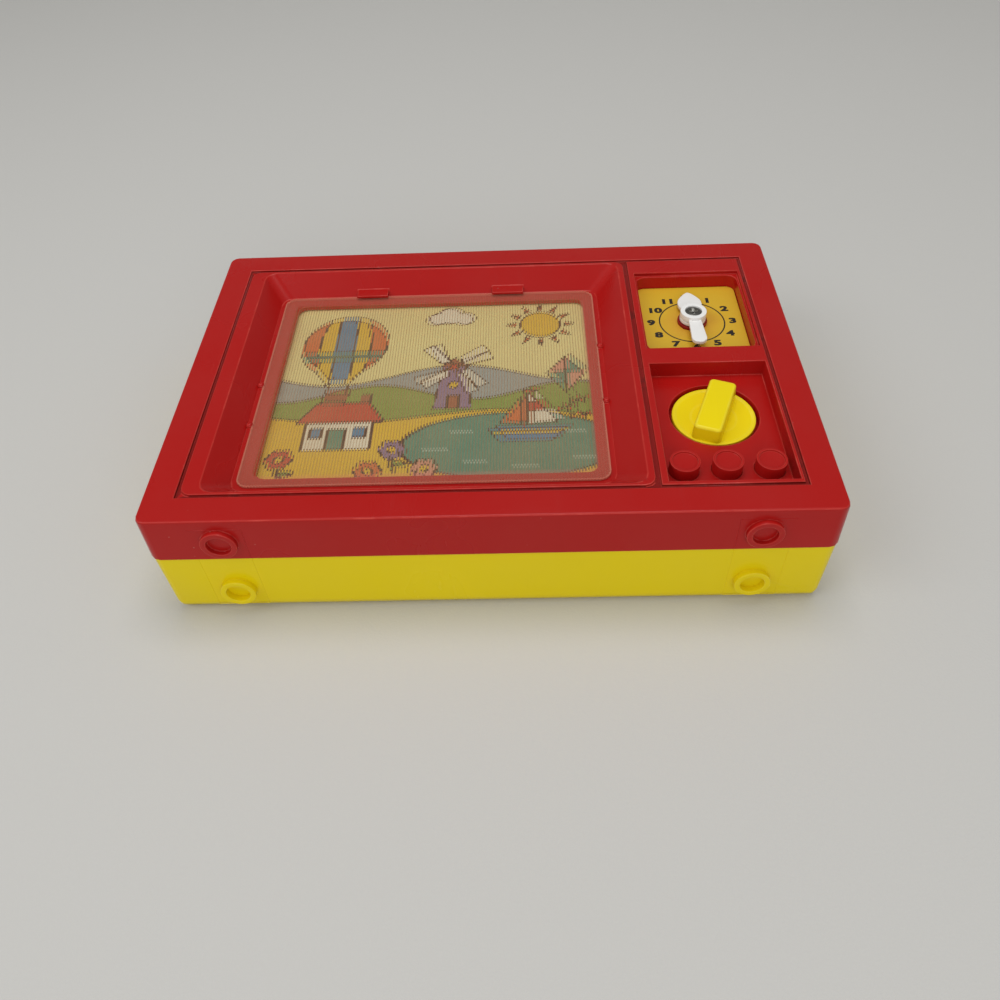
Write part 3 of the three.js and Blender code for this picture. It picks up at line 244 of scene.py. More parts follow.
class Finish(Nodes):
    """A new material with its Principled shader."""

    def __init__(self, name, roughness=0.4, metallic=0.0):
        self.material = bpy.data.materials.new(name)
        self.material.use_nodes = True
        super().__init__(self.material.node_tree)
        self.shader = self.tree.nodes["Principled BSDF"]
        self.shader.inputs["Roughness"].default_value = roughness
        self.shader.inputs["Metallic"].default_value = metallic

    def place(self):
        return self.add("ShaderNodeTexCoord").outputs["Object"]

    def mark(self, name, output="Fac"):
        return self.add("ShaderNodeAttribute", attribute_name=name).outputs[output]

    def group(self, tree, **values):
        node = self.add("ShaderNodeGroup", node_tree=tree)
        for key, value in values.items():
            self.join(value, node.inputs[key.replace("_", " ")])
        return node.outputs

    def show(self, **outputs):
        for key, output in outputs.items():
            self.join(output, self.shader.inputs[key.replace("_", " ")])

    def bump(self, height, strength=0.3, distance=0.2 * MM):
        node = self.add("ShaderNodeBump")
        node.inputs["Strength"].default_value = strength
        node.inputs["Distance"].default_value = distance
        self.join(height, node.inputs["Height"])
        self.join(node.outputs["Normal"], self.shader.inputs["Normal"])


FLOAT, COLOUR, VECTOR = "NodeSocketFloat", "NodeSocketColor", "NodeSocketVector"


def named_tree(name, kind, inputs, outputs):
    """A new tree with named sockets: its helper, what its inputs give, and where its results go."""
    tree = bpy.data.node_groups.new(name, kind)
    for label, socket_kind, value in inputs:
        socket = tree.interface.new_socket(name=label, in_out="INPUT", socket_type=socket_kind)
        if value is not None:
            socket.default_value = value
    for label, socket_kind in outputs:
        tree.interface.new_socket(name=label, in_out="OUTPUT", socket_type=socket_kind)
    given = tree.nodes.new("NodeGroupInput")
    result = tree.nodes.new("NodeGroupOutput")
    return Nodes(tree), given.outputs, result.inputs


FLOOR_COLOUR = rgb(206, 205, 201)
floor_finish = Finish("pale_floor", roughness=0.9)
floor_finish.shader.inputs["Base Color"].default_value = FLOOR_COLOUR
floor_finish.shader.inputs["Specular IOR Level"].default_value = 0.1
floor_finish.bump(floor_finish.noise(floor_finish.place(), 900), strength=0.15, distance=0.4 * MM)
floor_mesh.materials.append(floor_finish.material)
print("floor colour in linear light:", [round(c, 3) for c in FLOOR_COLOUR])

# %% [markdown]
# Effects that several plastics share are shader groups. The first is the skin of a moulded part: years of
# use leave fine scuffs in it, hands leave greasy patches that are glossier, and the mould leaves a faint
# waviness. Noise at three sizes makes these, and the group gives a colour, a roughness and a height.

# %% Shader group: moulded skin


def build_skin_group():
    build, given, result = named_tree(
        "moulded_skin",
        "ShaderNodeTree",
        [
            ("Colour", COLOUR, (1, 1, 1, 1)),
            ("Faded Colour", COLOUR, (1, 1, 1, 1)),
            ("Roughness", FLOAT, 0.35),
            ("Scuffs", FLOAT, 0.3),
            ("Vector", VECTOR, None),
        ],
        [("Colour", COLOUR), ("Roughness", FLOAT), ("Height", FLOAT)],
    )
    stretched = build.add("ShaderNodeMapping")
    stretched.inputs["Scale"].default_value = (1.0, 0.06, 0.3)
    stretched.inputs["Rotation"].default_value = (0, 0, 0.6)
    build.join(given["Vector"], stretched.inputs["Vector"])
    patches = build.noise(given["Vector"], 14, 3)
    scratches = build.noise(stretched.outputs["Vector"], 240, 2)
    grain = build.noise(given["Vector"], 1500, 1)
    scuffs = build.number("MULTIPLY", build.ranged(scratches, 0.62, 0.75), given["Scuffs"])
    paler = build.number("MULTIPLY_ADD", scuffs, 0.35, build.ranged(patches, 0.3, 0.75, 0, 0.35))
    duller = build.number("ADD", given["Roughness"], build.ranged(patches, 0.3, 0.7, -0.05, 0.07))
    fine = build.number("MULTIPLY_ADD", scuffs, -0.5, build.number("MULTIPLY", grain, 0.12))
    build.join(build.mixed(paler, given["Colour"], given["Faded Colour"]), result["Colour"])
    build.join(build.number("MULTIPLY_ADD", scuffs, 0.18, duller), result["Roughness"])
    build.join(build.number("MULTIPLY_ADD", patches, 0.6, fine), result["Height"])
    return build.tree


skin_group = build_skin_group()
print("skin group nodes:", len(skin_group.nodes))

# %% [markdown]
# Worn edges, with a painted highlight along them, are the second shared effect. The bevels that round the
# edges of a moulding are marked with a face attribute named edge. The group breaks that mark up with noise,
# because real wear comes in patches, and gives a mask: there the plastic is painted paler, partly as rubbed
# wear and partly as the highlight that a round edge catches. Least keeps some of the mark between the
# patches. The same group, with a dark colour and another mark, paints shade into the groove and round the
# clock's boss.

# %% Shader group: edge wear, painted highlight and painted shade


def build_wear_group():
    build, given, result = named_tree(
        "edge_wear",
        "ShaderNodeTree",
        [
            ("Colour", COLOUR, (1, 1, 1, 1)),
            ("Rubbed Colour", COLOUR, (1, 1, 1, 1)),
            ("Edge", FLOAT, 0.0),
            ("Amount", FLOAT, 0.5),
            ("Least", FLOAT, 0.0),
            ("Vector", VECTOR, None),
        ],
        [("Colour", COLOUR), ("Mask", FLOAT)],
    )
    # The mask paints the second colour: wear and a painted highlight on edges, painted shade in the groove.
    patches = build.ranged(build.noise(given["Vector"], 120, 4), 0.42, 0.68)
    on_edge = build.number("MULTIPLY", build.number("MAXIMUM", patches, given["Least"]), given["Edge"])
    mask = build.number("MULTIPLY", on_edge, given["Amount"])
    build.join(build.mixed(mask, given["Colour"], given["Rubbed Colour"]), result["Colour"])
    build.join(mask, result["Mask"])
    return build.tree


wear_highlight_shade_group = build_wear_group()
print("wear group nodes:", len(wear_highlight_shade_group.nodes))

# %% [markdown]
# Dust is the third. It settles as a thin grey film in blotches, with single specks on it. It lies on
# every finish that the air reaches, so it is the last colour step of most materials here.

# %% Shader group: dust
DUST_COLOUR = rgb(205, 198, 185)


def build_dust_group():
    build, given, result = named_tree(
        "dust",
        "ShaderNodeTree",
        [
            ("Colour", COLOUR, (1, 1, 1, 1)),
            ("Film", FLOAT, 0.06),
            ("Specks", FLOAT, 0.3),
            ("Vector", VECTOR, None),
        ],
        [("Colour", COLOUR)],
    )
    blotches = build.noise(given["Vector"], 35, 5)
    cells = build.add("ShaderNodeTexVoronoi")
    cells.inputs["Scale"].default_value = 160
    build.join(given["Vector"], cells.inputs["Vector"])
    dots = build.ranged(cells.outputs["Distance"], 0.06, 0.03)
    few = build.number("MULTIPLY", dots, build.ranged(blotches, 0.55, 0.6))
    film = build.number("MULTIPLY", blotches, given["Film"])
    cover = build.number("MULTIPLY_ADD", few, given["Specks"], film)
    build.join(build.mixed(cover, given["Colour"], DUST_COLOUR), result["Colour"])
    return build.tree


dust_group = build_dust_group()
print("dust group nodes:", len(dust_group.nodes))

# %% [markdown]
# The red and yellow housings, the knob and the white hands are glossy moulded plastic. One function
# builds such a finish from its colours, so that all of them share the same skin, edge wear with its painted
# highlight, and dust, and differ in colour, gloss and age. A second mark paints shade, a dark colour, into
# the groove round the panels and round the boss of the clock.

# %% Plastic finishes
# A dark red that paints shade into the groove and round the clock's boss.
PAINTED_SHADE = rgb(74, 4, 2)


def plastic(name, colour, faded, rubbed_and_lit, roughness, scuffs=0.3, wear=0.4, gloss=0.22):
    finish = Finish(name, roughness=roughness)
    place = finish.place()
    skin = finish.group(
        skin_group, Vector=place, Colour=colour, Faded_Colour=faded, Roughness=roughness, Scuffs=scuffs
    )
    # The paler rubbed colour on the edges is wear and also a painted highlight.
    worn_and_lit = finish.group(
        wear_highlight_shade_group, Vector=place, Colour=skin["Colour"], Rubbed_Colour=rubbed_and_lit, Edge=finish.mark("edge"),
        Amount=wear, Least=0.4,
    )
    # Painted shade: faces with the second mark are darkened towards dark red.
    shaded = finish.group(
        wear_highlight_shade_group, Vector=place, Colour=worn_and_lit["Colour"], Rubbed_Colour=PAINTED_SHADE, Edge=finish.mark("dirt"),
        Amount=0.75, Least=0.7,
    )
    dusty = finish.group(dust_group, Vector=place, Colour=shaded["Colour"], Film=0.02, Specks=0.2)
    finish.show(Base_Color=dusty["Colour"], Roughness=skin["Roughness"])
    finish.bump(skin["Height"], strength=0.25, distance=0.08 * MM)
    finish.shader.inputs["Specular IOR Level"].default_value = gloss
    return finish.material


# The third colour of each plastic goes on its edges, as wear and as a painted highlight.
red_plastic = plastic(
    "red_moulded_plastic", rgb(178, 9, 7), rgb(168, 17, 13), rgb(216, 84, 72), 0.27,
    scuffs=0.35, wear=0.55,
)
yellow_plastic = plastic(
    "yellow_moulded_plastic", rgb(240, 216, 0), rgb(232, 206, 0), rgb(246, 234, 96), 0.3,
    scuffs=0.3, wear=0.3, gloss=0.16,
)
knob_plastic = plastic(
    "yellow_knob_plastic", rgb(246, 222, 0), rgb(238, 210, 0), rgb(250, 238, 100), 0.28,
    scuffs=0.25, wear=0.3, gloss=0.16,
)
white_plastic = plastic(
    "white_hand_plastic", rgb(244, 243, 240), rgb(236, 233, 225), rgb(250, 250, 250), 0.35,
    scuffs=0.2, wear=0.2,
)
cream_plastic = plastic(
    "cream_inner_plastic", rgb(226, 214, 178), rgb(214, 200, 160), rgb(236, 228, 200), 0.45,
    scuffs=0.4, wear=0.2,
)
print("plastics made:", [m.name for m in bpy.data.materials if "plastic" in m.name])

# %% [markdown]
# The clockwork inside is punched from steel and brass sheet. Such metal is brushed by its tools and
# tarnishes unevenly. A stretched noise gives the brushing, a broad one the tarnish. Where the attribute
# edge marks a face, the metal is painted bright: a tool's polish, and a painted glint.

# %% Metal finishes
# Bright metal for a tool's polish and for a painted glint.
POLISHED_GLINT = rgb(236, 235, 230)


def metal(name, bright, dull, roughness):
    finish = Finish(name, roughness=roughness, metallic=1.0)
    place = finish.place()
    skin = finish.group(
        skin_group, Vector=place, Colour=bright, Faded_Colour=dull, Roughness=roughness, Scuffs=0.3
    )
    worn_and_lit = finish.group(
        wear_highlight_shade_group, Vector=place, Colour=skin["Colour"], Rubbed_Colour=POLISHED_GLINT, Edge=finish.mark("edge"),
        Amount=1.0, Least=0.7,
    )
    dusty = finish.group(dust_group, Vector=place, Colour=worn_and_lit["Colour"], Film=0.04, Specks=0.1)
    finish.show(Base_Color=dusty["Colour"], Roughness=skin["Roughness"])
    strokes = finish.noise(finish.vectors("MULTIPLY", place, (1, 0.04, 1)), 2500)
    finish.bump(strokes, strength=0.2, distance=0.03 * MM)
    return finish.material


steel = metal("plain_steel", rgb(176, 178, 180), rgb(140, 140, 142), 0.32)
dark_steel = metal("dulled_steel", rgb(122, 120, 116), rgb(86, 82, 78), 0.34)
brass = metal("rolled_brass", rgb(206, 172, 96), rgb(168, 132, 70), 0.34)
print("metals made:", [m.name for m in (steel, dark_steel, brass)])

# %% [markdown]
# A CAD mesh is made of loose, flat triangles with knife-sharp edges. No moulded edge is sharp, and a
# sharp edge never catches the light. So each visible moulding gets a copy whose triangles are merged, and
# a Bevel modifier rounds the edges by a few tenths of a millimetre. A bevel wider than a small face would
# fold it over, so each edge carries a weight that makes the bevel narrower there. An edge that gets no
# bevel is marked sharp instead, or the shading would bend round it. The new faces are marked for the edge
# wear and the painted highlight that the finish lays on them, and a Weighted Normal modifier keeps the
# large flat faces flat in the light.

# %% Rounding a moulding
HAIR = 0.02 * MM
FLAT_ANGLE = math.radians(2)
MERGE_ANGLE = math.radians(1)
SMOOTH_ANGLE = math.radians(32)
SHARP_ANGLE = math.radians(35)
OUTER_BAND = 2.5 * MM
FACING_SHARE = 0.3
ROUNDING_SHARE = 0.42
LEAST_ROUNDING = 0.12


def link_piece(name, mesh, material, body, replaces=()):
    """A finished mesh becomes a piece of the toy: it rides on its body and stands for its CAD nodes."""
    piece = bpy.data.objects.new(name, mesh)
    if not mesh.materials:
        mesh.materials.append(material)
    scene.collection.objects.link(piece)
    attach(piece, body)
    if replaces:
        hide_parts(*replaces)
    return piece


def smooth_by_angle(mesh, angle=SMOOTH_ANGLE):
    mesh.polygons.foreach_set("use_smooth", [True] * len(mesh.polygons))
    mesh.set_sharp_from_angle(angle=angle)


def applied(piece):
    """The piece's mesh with its modifiers baked in, as a new mesh."""
    bpy.context.view_layer.update()
    graph = bpy.context.evaluated_depsgraph_get()
    return bpy.data.meshes.new_from_object(piece.evaluated_get(graph), depsgraph=graph)


def mark_faces(mesh, name, values):
    mesh.attributes.new(name, "FLOAT", "FACE").data.foreach_set("value", values)


def mark_edges_to_round(work, width, facing):
    """Give each sharp edge that shows a bevel weight, less where the edges round it are short.

    Facing is 1 or -1 for a moulding seen from its front or its back, and 0 for one seen from all over.
    """
    weight = work.edges.layers.float.new("bevel_weight_edge")
    spread = [[v.co[axis] for v in work.verts] for axis in range(2)]
    low, high = [min(places) for places in spread], [max(places) for places in spread]
    bends = {edge: edge.calc_face_angle(0) for edge in work.edges}
    bends = {edge: bend for edge, bend in bends.items() if bend > FLAT_ANGLE}
    for edge, bend in bends.items():
        middle = (edge.verts[0].co + edge.verts[1].co) / 2
        outside = min(min(middle[i] - low[i], high[i] - middle[i]) for i in range(2)) < OUTER_BAND
        turned_out = any(face.normal.z * facing > FACING_SHARE for face in edge.link_faces)
        shows = not facing or outside or turned_out
        around = [near for vertex in edge.verts for near in vertex.link_edges if near in bends]
        share = min(1, ROUNDING_SHARE * min(near.calc_length() for near in around) / width)
        if bend > SHARP_ANGLE and shows and share > LEAST_ROUNDING:
            edge[weight] = share
        elif bend > SMOOTH_ANGLE:
            edge.smooth = False


def rounded_copy(name, source, width, segments=2, facing=0):
    """A merged copy of a mesh with rounded edges, whose bevel faces carry the attribute edge."""
    mesh = source.copy()
    mesh.name = name
    mesh.materials.clear()
    for layer in ("custom_normal", "sharp_face", "sharp_edge"):
        if layer in mesh.attributes:
            mesh.attributes.remove(mesh.attributes[layer])
    work = bmesh.new()
    work.from_mesh(mesh)
    bmesh.ops.remove_doubles(work, verts=work.verts, dist=HAIR)
    bmesh.ops.dissolve_limit(work, angle_limit=MERGE_ANGLE, verts=work.verts, edges=work.edges)
    bmesh.ops.triangulate(work, faces=[face for face in work.faces if len(face.verts) > 4])
    mark_edges_to_round(work, width, facing)
    for face in work.faces:
        face.smooth = True
    work.to_mesh(mesh)
    work.free()
    carrier = bpy.data.objects.new(name + "_work", mesh)
    scene.collection.objects.link(carrier)
    # The bevel gives its new faces the second of two passing materials, and that becomes their mark
    for number in range(2):
        mesh.materials.append(bpy.data.materials.new(f"{name}_{number}"))
    bevel = carrier.modifiers.new("rounding", "BEVEL")
    bevel.width = width
    bevel.segments = segments
    bevel.limit_method = "WEIGHT"
    bevel.use_clamp_overlap = False
    bevel.material = 1
    bevel.face_strength_mode = "FSTR_ALL"
    even = carrier.modifiers.new("even_normals", "WEIGHTED_NORMAL")
    even.weight = 100
    even.use_face_influence = True
    even.keep_sharp = True
    result = applied(carrier)
    bpy.data.objects.remove(carrier)
    marks = np.zeros(len(result.polygons), np.int32)
    result.polygons.foreach_get("material_index", marks)
    mark_faces(result, "edge", marks.astype(np.float32))
    result.polygons.foreach_set("material_index", [0] * len(marks))
    for spare in list(result.materials):
        bpy.data.materials.remove(spare)
    result.materials.clear()
    return result


print("edges bent by more than", round(math.degrees(SHARP_ANGLE)), "degrees are rounded")

# %% [markdown]
# The front housing is one red injection moulding: the frame, the groove round the panels, the funnel
# round the screen, the clock's stepped recess, and the deep recess of the knob and buttons. The rear
# housing is a yellow tray. Both keep the CAD's shape and get their rounded edges here. Painted shade
# darkens the groove, so its faces are found by their place and marked.

# %% Housings
MOULD_ROUNDING = 0.35 * MM
GROOVE_DEPTH, GROOVE_WIDTH, CHANNEL_WIDTH = 1.1 * MM, 1.4 * MM, 1.9 * MM
GROOVE_X, GROOVE_Y = 115 * MM, 73.35 * MM
SCREEN_PANEL_WIDTH = 174.2 * MM
CHANNEL_LEFT = GROOVE_WIDTH - GROOVE_X + SCREEN_PANEL_WIDTH
SHADE_START = 0.4 * MM
SLACK = 0.1 * MM
case_low, case_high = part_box("front_housing")
back_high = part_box("rear_housing")[1]


def mark_dirt(mesh, is_shaded):
    """Mark the faces that get painted shade, by the place of their middle."""
    marks = [1.0 if is_shaded(face.center) else 0.0 for face in mesh.polygons]
    mark_faces(mesh, "dirt", marks)
    return int(sum(marks))


def in_groove(place):
    """True on the floor and the walls of the groove, and in the channel between the two panels."""
    under = case_high[2] - place.z
    if not SHADE_START < under < GROOVE_DEPTH + SLACK:
        return False
    near_x = -SLACK < GROOVE_X - abs(place.x) < GROOVE_WIDTH + SLACK
    near_y = -SLACK < GROOVE_Y - abs(place.y) < GROOVE_WIDTH + SLACK
    in_channel = CHANNEL_LEFT - SLACK < place.x < CHANNEL_LEFT + CHANNEL_WIDTH + SLACK
    return near_x or near_y or in_channel


front_mesh = rounded_copy("front_moulding", nodes["front_housing"].data, MOULD_ROUNDING, facing=1)
# The groove's faces get painted shade.
print("faces with shade in the groove:", mark_dirt(front_mesh, in_groove))
link_piece("front_moulding", front_mesh, red_plastic, "case", ["front_housing"])
rear_mesh = rounded_copy("rear_moulding", nodes["rear_housing"].data, MOULD_ROUNDING, facing=-1)
link_piece("rear_moulding", rear_mesh, yellow_plastic, "case", ["rear_housing"])
print("front faces:", len(front_mesh.polygons), "rear faces:", len(rear_mesh.polygons))

# %% [markdown]
# The CAD draws its round parts with few sides, which is enough to turn and to collide but shows in a
# render. Round pieces are built here as a potter throws them: a profile of radii and heights is swept
# round an axis. Each corner of the profile becomes a short curve, and the faces on that curve carry the
# edge mark.

# %% Turned solids


def rounded_corners(points, radius, steps=3):
    """A profile with curved corners, as (radius, height, edge) rows. Edge is 1 on a corner's curve."""
    rows = [(*points[0], 0.0)]
    for before, corner, after in zip(points, points[1:], points[2:]):
        middle = Vector(corner)
        back, ahead = Vector(before) - middle, Vector(after) - middle
        reach = min(radius, back.length * 0.45, ahead.length * 0.45)
        start = middle + back.normalized() * reach
        end = middle + ahead.normalized() * reach
        for i in range(steps + 1):
            share = i / steps
            point = start.lerp(middle, share).lerp(middle.lerp(end, share), share)
            rows.append((point.x, point.y, 1.0 if i else 0.0))
    rows.append((*points[-1], 0.0))
    return rows


def finished_mesh(name, work):
    """A mesh from a bmesh, with its faces turned outward and smooth up to its sharp edges."""
    bmesh.ops.recalc_face_normals(work, faces=work.faces)
    mesh = bpy.data.meshes.new(name)
    work.to_mesh(mesh)
    work.free()
    smooth_by_angle(mesh)
    return mesh


def turned(name, profile, centre, rounding=0.25 * MM, steps=64):
    """A closed solid swept round an upright axis. A profile that starts off the axis closes on itself."""
    work = bmesh.new()
    mark = work.faces.layers.float.new("edge")
    on_axis = profile[0][0] == 0
    rows = rounded_corners(profile if on_axis else [*profile, profile[0]], rounding)
    angles = [2 * math.pi * i / steps for i in range(steps)]
    rings = []
    for radius, height, _ in rows if on_axis else rows[:-1]:
        turns = angles if radius > 0 else [0]
        rings.append([
            work.verts.new((centre[0] + radius * math.cos(a), centre[1] + radius * math.sin(a), height))
            for a in turns
        ])
    uppers = rings[1:] if on_axis else [*rings[1:], rings[0]]
    for lower, upper, row in zip(rings, uppers, rows[1:]):
        for i in range(steps):
            k = (i + 1) % steps
            start = lower[i % len(lower)], upper[i % len(upper)]
            end = lower[k % len(lower)], upper[k % len(upper)]
            face = work.faces.new(list(dict.fromkeys([start[0], *end, start[1]])))
            face[mark] = row[2]
    return finished_mesh(name, work)


def joined(name, *meshes):
    """Several closed meshes as one mesh, with their edge marks kept."""
    vertices, faces, marks = [], [], []
    for mesh in meshes:
        first = len(vertices)
        vertices += [tuple(v.co) for v in mesh.vertices]
        faces += [[first + i for i in face.vertices] for face in mesh.polygons]
        layer = mesh.attributes.get("edge")
        marks += [entry.value for entry in layer.data] if layer else [0.0] * len(mesh.polygons)
    whole = bpy.data.meshes.new(name)
    whole.from_pydata(vertices, [], faces)
    mark_faces(whole, "edge", marks)
    smooth_by_angle(whole)
    return whole


def centre_of(node):
    low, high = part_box(node)
    return tuple((a + b) / 2 for a, b in zip(low, high))


knob_centre = centre_of("winding_knob")[:2]
button_centres = [centre_of(f"button_{side}")[:2] for side in ("left", "middle", "right")]
dial_centre = centre_of("clock_card")[:2]
print("axes of the round pieces:", [[round(v / MM, 1) for v in c] for c in (knob_centre, dial_centre)])

# %% [markdown]
# A ring foot, a bore or a boss of the housings is one with its moulding, so the CAD's flat-sided ring
# can't be taken away alone. A smooth ring that is a hair larger is laid over each one instead. It hides
# the flats, and its own corners are rounded as the moulding's are. The holes of the back get smooth
# sleeves in the same way.

# %% Smooth rings of the housings
FOOT_OUTER, FOOT_INNER, FOOT_HEIGHT = 6.78 * MM, 4.62 * MM, 2.22 * MM
FOOT_SIDE_INSET = 28.5 * MM
FOOT_FROM_FRONT, FOOT_FROM_BACK = 11.5 * MM, 13.3 * MM
FRONT_DRAFT = 0.4 * MM
KNOB_BORE, BUTTON_BORE, BORE_WALL = 17.78 * MM, 5.82 * MM, 0.3 * MM
LEDGE_INNER, LEDGE_OUTER = 14.5 * MM, 18.1 * MM
WELL_FLOOR = case_high[2] - 7.2 * MM
BUTTON_SLEEVE_LOW = WELL_FLOOR - 2 * MM
COLLAR_LOW = WELL_FLOOR - 4.1 * MM
LEDGE_LOW = WELL_FLOOR - 4.7 * MM
BOSS_INNER, BOSS_OUTER = 3.3 * MM, 6.51 * MM
BOSS_UNDER, BOSS_OVER = 0.8 * MM, 1.21 * MM
SHADED_RADIUS = 7 * MM
WELL_RADIUS, WELL_WALL = 3.87 * MM, 0.4 * MM
foot_x = case_high[0] - FRONT_DRAFT - FOOT_SIDE_INSET
foot_face = case_low[1]
card_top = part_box("clock_card")[1][2]


def ring_foot(name, x, z):
    """A ring that stands on the lower side, so it is turned upright and then laid over."""
    section = [(FOOT_INNER, 0), (FOOT_OUTER, 0), (FOOT_OUTER, FOOT_HEIGHT), (FOOT_INNER, FOOT_HEIGHT)]
    mesh = turned(name, section, (0, 0), rounding=MOULD_ROUNDING)
    wall = foot_face + FOOT_HEIGHT - HAIR
    mesh.transform(Matrix.Translation((x, wall, z)) @ Matrix.Rotation(math.pi / 2, 4, "X"))
    return mesh


def sleeve(name, centre, inner, outer, low, high, rounding=0.12 * MM):
    return turned(name, [(inner, low), (outer, low), (outer, high), (inner, high)], centre, rounding)


def bore_sleeve(name, centre, radius, low):
    return sleeve(name, centre, radius, radius + BORE_WALL, low, WELL_FLOOR + HAIR)


front_rings = [
    ring_foot("foot_left", -foot_x, case_high[2] - FOOT_FROM_FRONT),
    ring_foot("foot_right", foot_x, case_high[2] - FOOT_FROM_FRONT),
    bore_sleeve("knob_sleeve", knob_centre, KNOB_BORE, COLLAR_LOW),
    *[bore_sleeve("button_sleeve", centre, BUTTON_BORE, BUTTON_SLEEVE_LOW) for centre in button_centres],
    sleeve("knob_ledge", knob_centre, LEDGE_INNER, LEDGE_OUTER, LEDGE_LOW, COLLAR_LOW),
    sleeve("dial_boss", dial_centre, BOSS_INNER, BOSS_OUTER, card_top - BOSS_UNDER, card_top + BOSS_OVER),
]
front_ring_mesh = joined("front_rings", *front_rings)
# Painted shade round the clock's boss, under the hub of the hands.
mark_dirt(front_ring_mesh, lambda place: math.dist(place.xy, dial_centre) < SHADED_RADIUS)
link_piece("front_rings", front_ring_mesh, red_plastic, "case")
rear_rings = [
    ring_foot("foot_left", -foot_x, FOOT_FROM_BACK),
    ring_foot("foot_right", foot_x, FOOT_FROM_BACK),
]
for number in range(1, 7):
    place = centre_of(f"housing_screw_{number}")[:2]
    half_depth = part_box(f"housing_screw_{number}")[1][2] / 2
    rear_rings.append(sleeve("well_sleeve", place, WELL_RADIUS, WELL_RADIUS + WELL_WALL, -HAIR, half_depth))
link_piece("rear_rings", joined("rear_rings", *rear_rings), yellow_plastic, "case")
print("rings on the front:", len(front_rings), "and on the back:", len(rear_rings))

# %% [markdown]
# The ring feet were moulded by separate inserts of the steel mould, and the joint of each insert left a
# faint line round its block on the side wall. The line is a low, narrow ridge, so it is made as one: thin
# closed strips that rise from the wall.

# %% Lines left by the mould's inserts
LINE_WIDTH, LINE_RISE = 0.28 * MM, 0.1 * MM
INSERT_LEFT, INSERT_RIGHT = 9.5 * MM, 10.5 * MM
HALF_HEIGHT = case_high[1] - FRONT_DRAFT
REAR_DRAFT = 0.9 * MM
PARTING = back_high[2] - 1.45 * MM
FRONT_BLOCK = (PARTING + 0.5 * MM, case_high[2] - 4.5 * MM)
REAR_BLOCK = (3.2 * MM, PARTING - 0.4 * MM)


def wall_at(z):
    """Distance of the lower side wall from the middle, at a height. Both housings are a little tapered."""
    if z > PARTING:
        return HALF_HEIGHT + FRONT_DRAFT * (case_high[2] - z) / (case_high[2] - PARTING)
    return HALF_HEIGHT - REAR_DRAFT * (1 - z / PARTING)


def wall_strip(start, end):
    """A thin closed bar on the lower side wall, from one (x, z) place to another."""
    half = LINE_WIDTH / 2
    along_z = start[1] != end[1]
    work = bmesh.new()
    rings = []
    for x, z in (start, end):
        out = -wall_at(z)
        ridge = ((-half, out + LINE_RISE), (0, out - LINE_RISE), (half, out + LINE_RISE))
        rings.append([
            work.verts.new((x + aside, y, z) if along_z else (x, y, z + aside)) for aside, y in ridge
        ])
    for i in range(3):
        k = (i + 1) % 3
        work.faces.new((rings[0][i], rings[0][k], rings[1][k], rings[1][i]))
    work.faces.new(rings[0])
    work.faces.new(rings[1][::-1])
    return finished_mesh("strip", work)


front_lines, rear_lines = [], []
for side in (-1, 1):
    outer, inner = side * (foot_x + INSERT_RIGHT), side * (foot_x - INSERT_LEFT)
    low, high = FRONT_BLOCK
    front_lines.append(wall_strip((inner, low), (inner, high)))
    front_lines.append(wall_strip((inner, high), (outer, high)))
    low, high = REAR_BLOCK
    rear_lines += [wall_strip((x, low), (x, high)) for x in (inner, outer)]
    rear_lines.append(wall_strip((inner, low), (outer, low)))
front_line_mesh = joined("front_insert_lines", *front_lines)
link_piece("front_insert_lines", front_line_mesh, red_plastic, "case")
rear_line_mesh = joined("rear_insert_lines", *rear_lines)
link_piece("rear_insert_lines", rear_line_mesh, yellow_plastic, "case")
print("insert lines:", len(front_lines), "on the front and", len(rear_lines), "on the back")

# %% [markdown]
# The winding knob is a round plate, a little sunk in its hole, with an upright grip bar across it. The
# plate is turned. The bar tapers towards its top and has round edges all over, so it is lofted: rounded
# rectangles are stacked, and the topmost ones shrink along a quarter circle.

# %% Winding knob


def rounded_rectangle(half_x, half_y, radius, steps=6):
    points = []
    for quarter, (sx, sy) in enumerate(((1, 1), (-1, 1), (-1, -1), (1, -1))):
        for i in range(steps + 1):
            angle = math.pi / 2 * (quarter + i / steps)
            points.append((
                sx * (half_x - radius) + radius * math.cos(angle),
                sy * (half_y - radius) + radius * math.sin(angle),
            ))
    return points


def lofted(name, rings):
    """A closed solid through (outline, height, edge) rings with equal counts of points."""
    work = bmesh.new()
    mark = work.faces.layers.float.new("edge")
    loops = [[work.verts.new((x, y, height)) for x, y in outline] for outline, height, _ in rings]
    count = len(loops[0])
    for lower, upper, ring in zip(loops, loops[1:], rings[1:]):
        for i in range(count):
            k = (i + 1) % count
            face = work.faces.new((lower[i], lower[k], upper[k], upper[i]))
            face[mark] = ring[2]
    work.faces.new(loops[-1])
    work.faces.new(loops[0][::-1])
    return finished_mesh(name, work)


def grip_bar(half_length, half_width, low, high, rounding, draft):
    rings = [(rounded_rectangle(half_width + draft, half_length + draft, rounding * 1.6), low, 0.0)]
    for i in range(6):
        angle = math.pi / 2 * i / 5
        inset = rounding * (1 - math.cos(angle))
        height = high - rounding * (1 - math.sin(angle))
        outline = rounded_rectangle(half_width - inset, half_length - inset, rounding * 1.6 - inset * 0.8)
        rings.append((outline, height, 1.0 if i else 0.0))
    return lofted("grip_bar", rings)


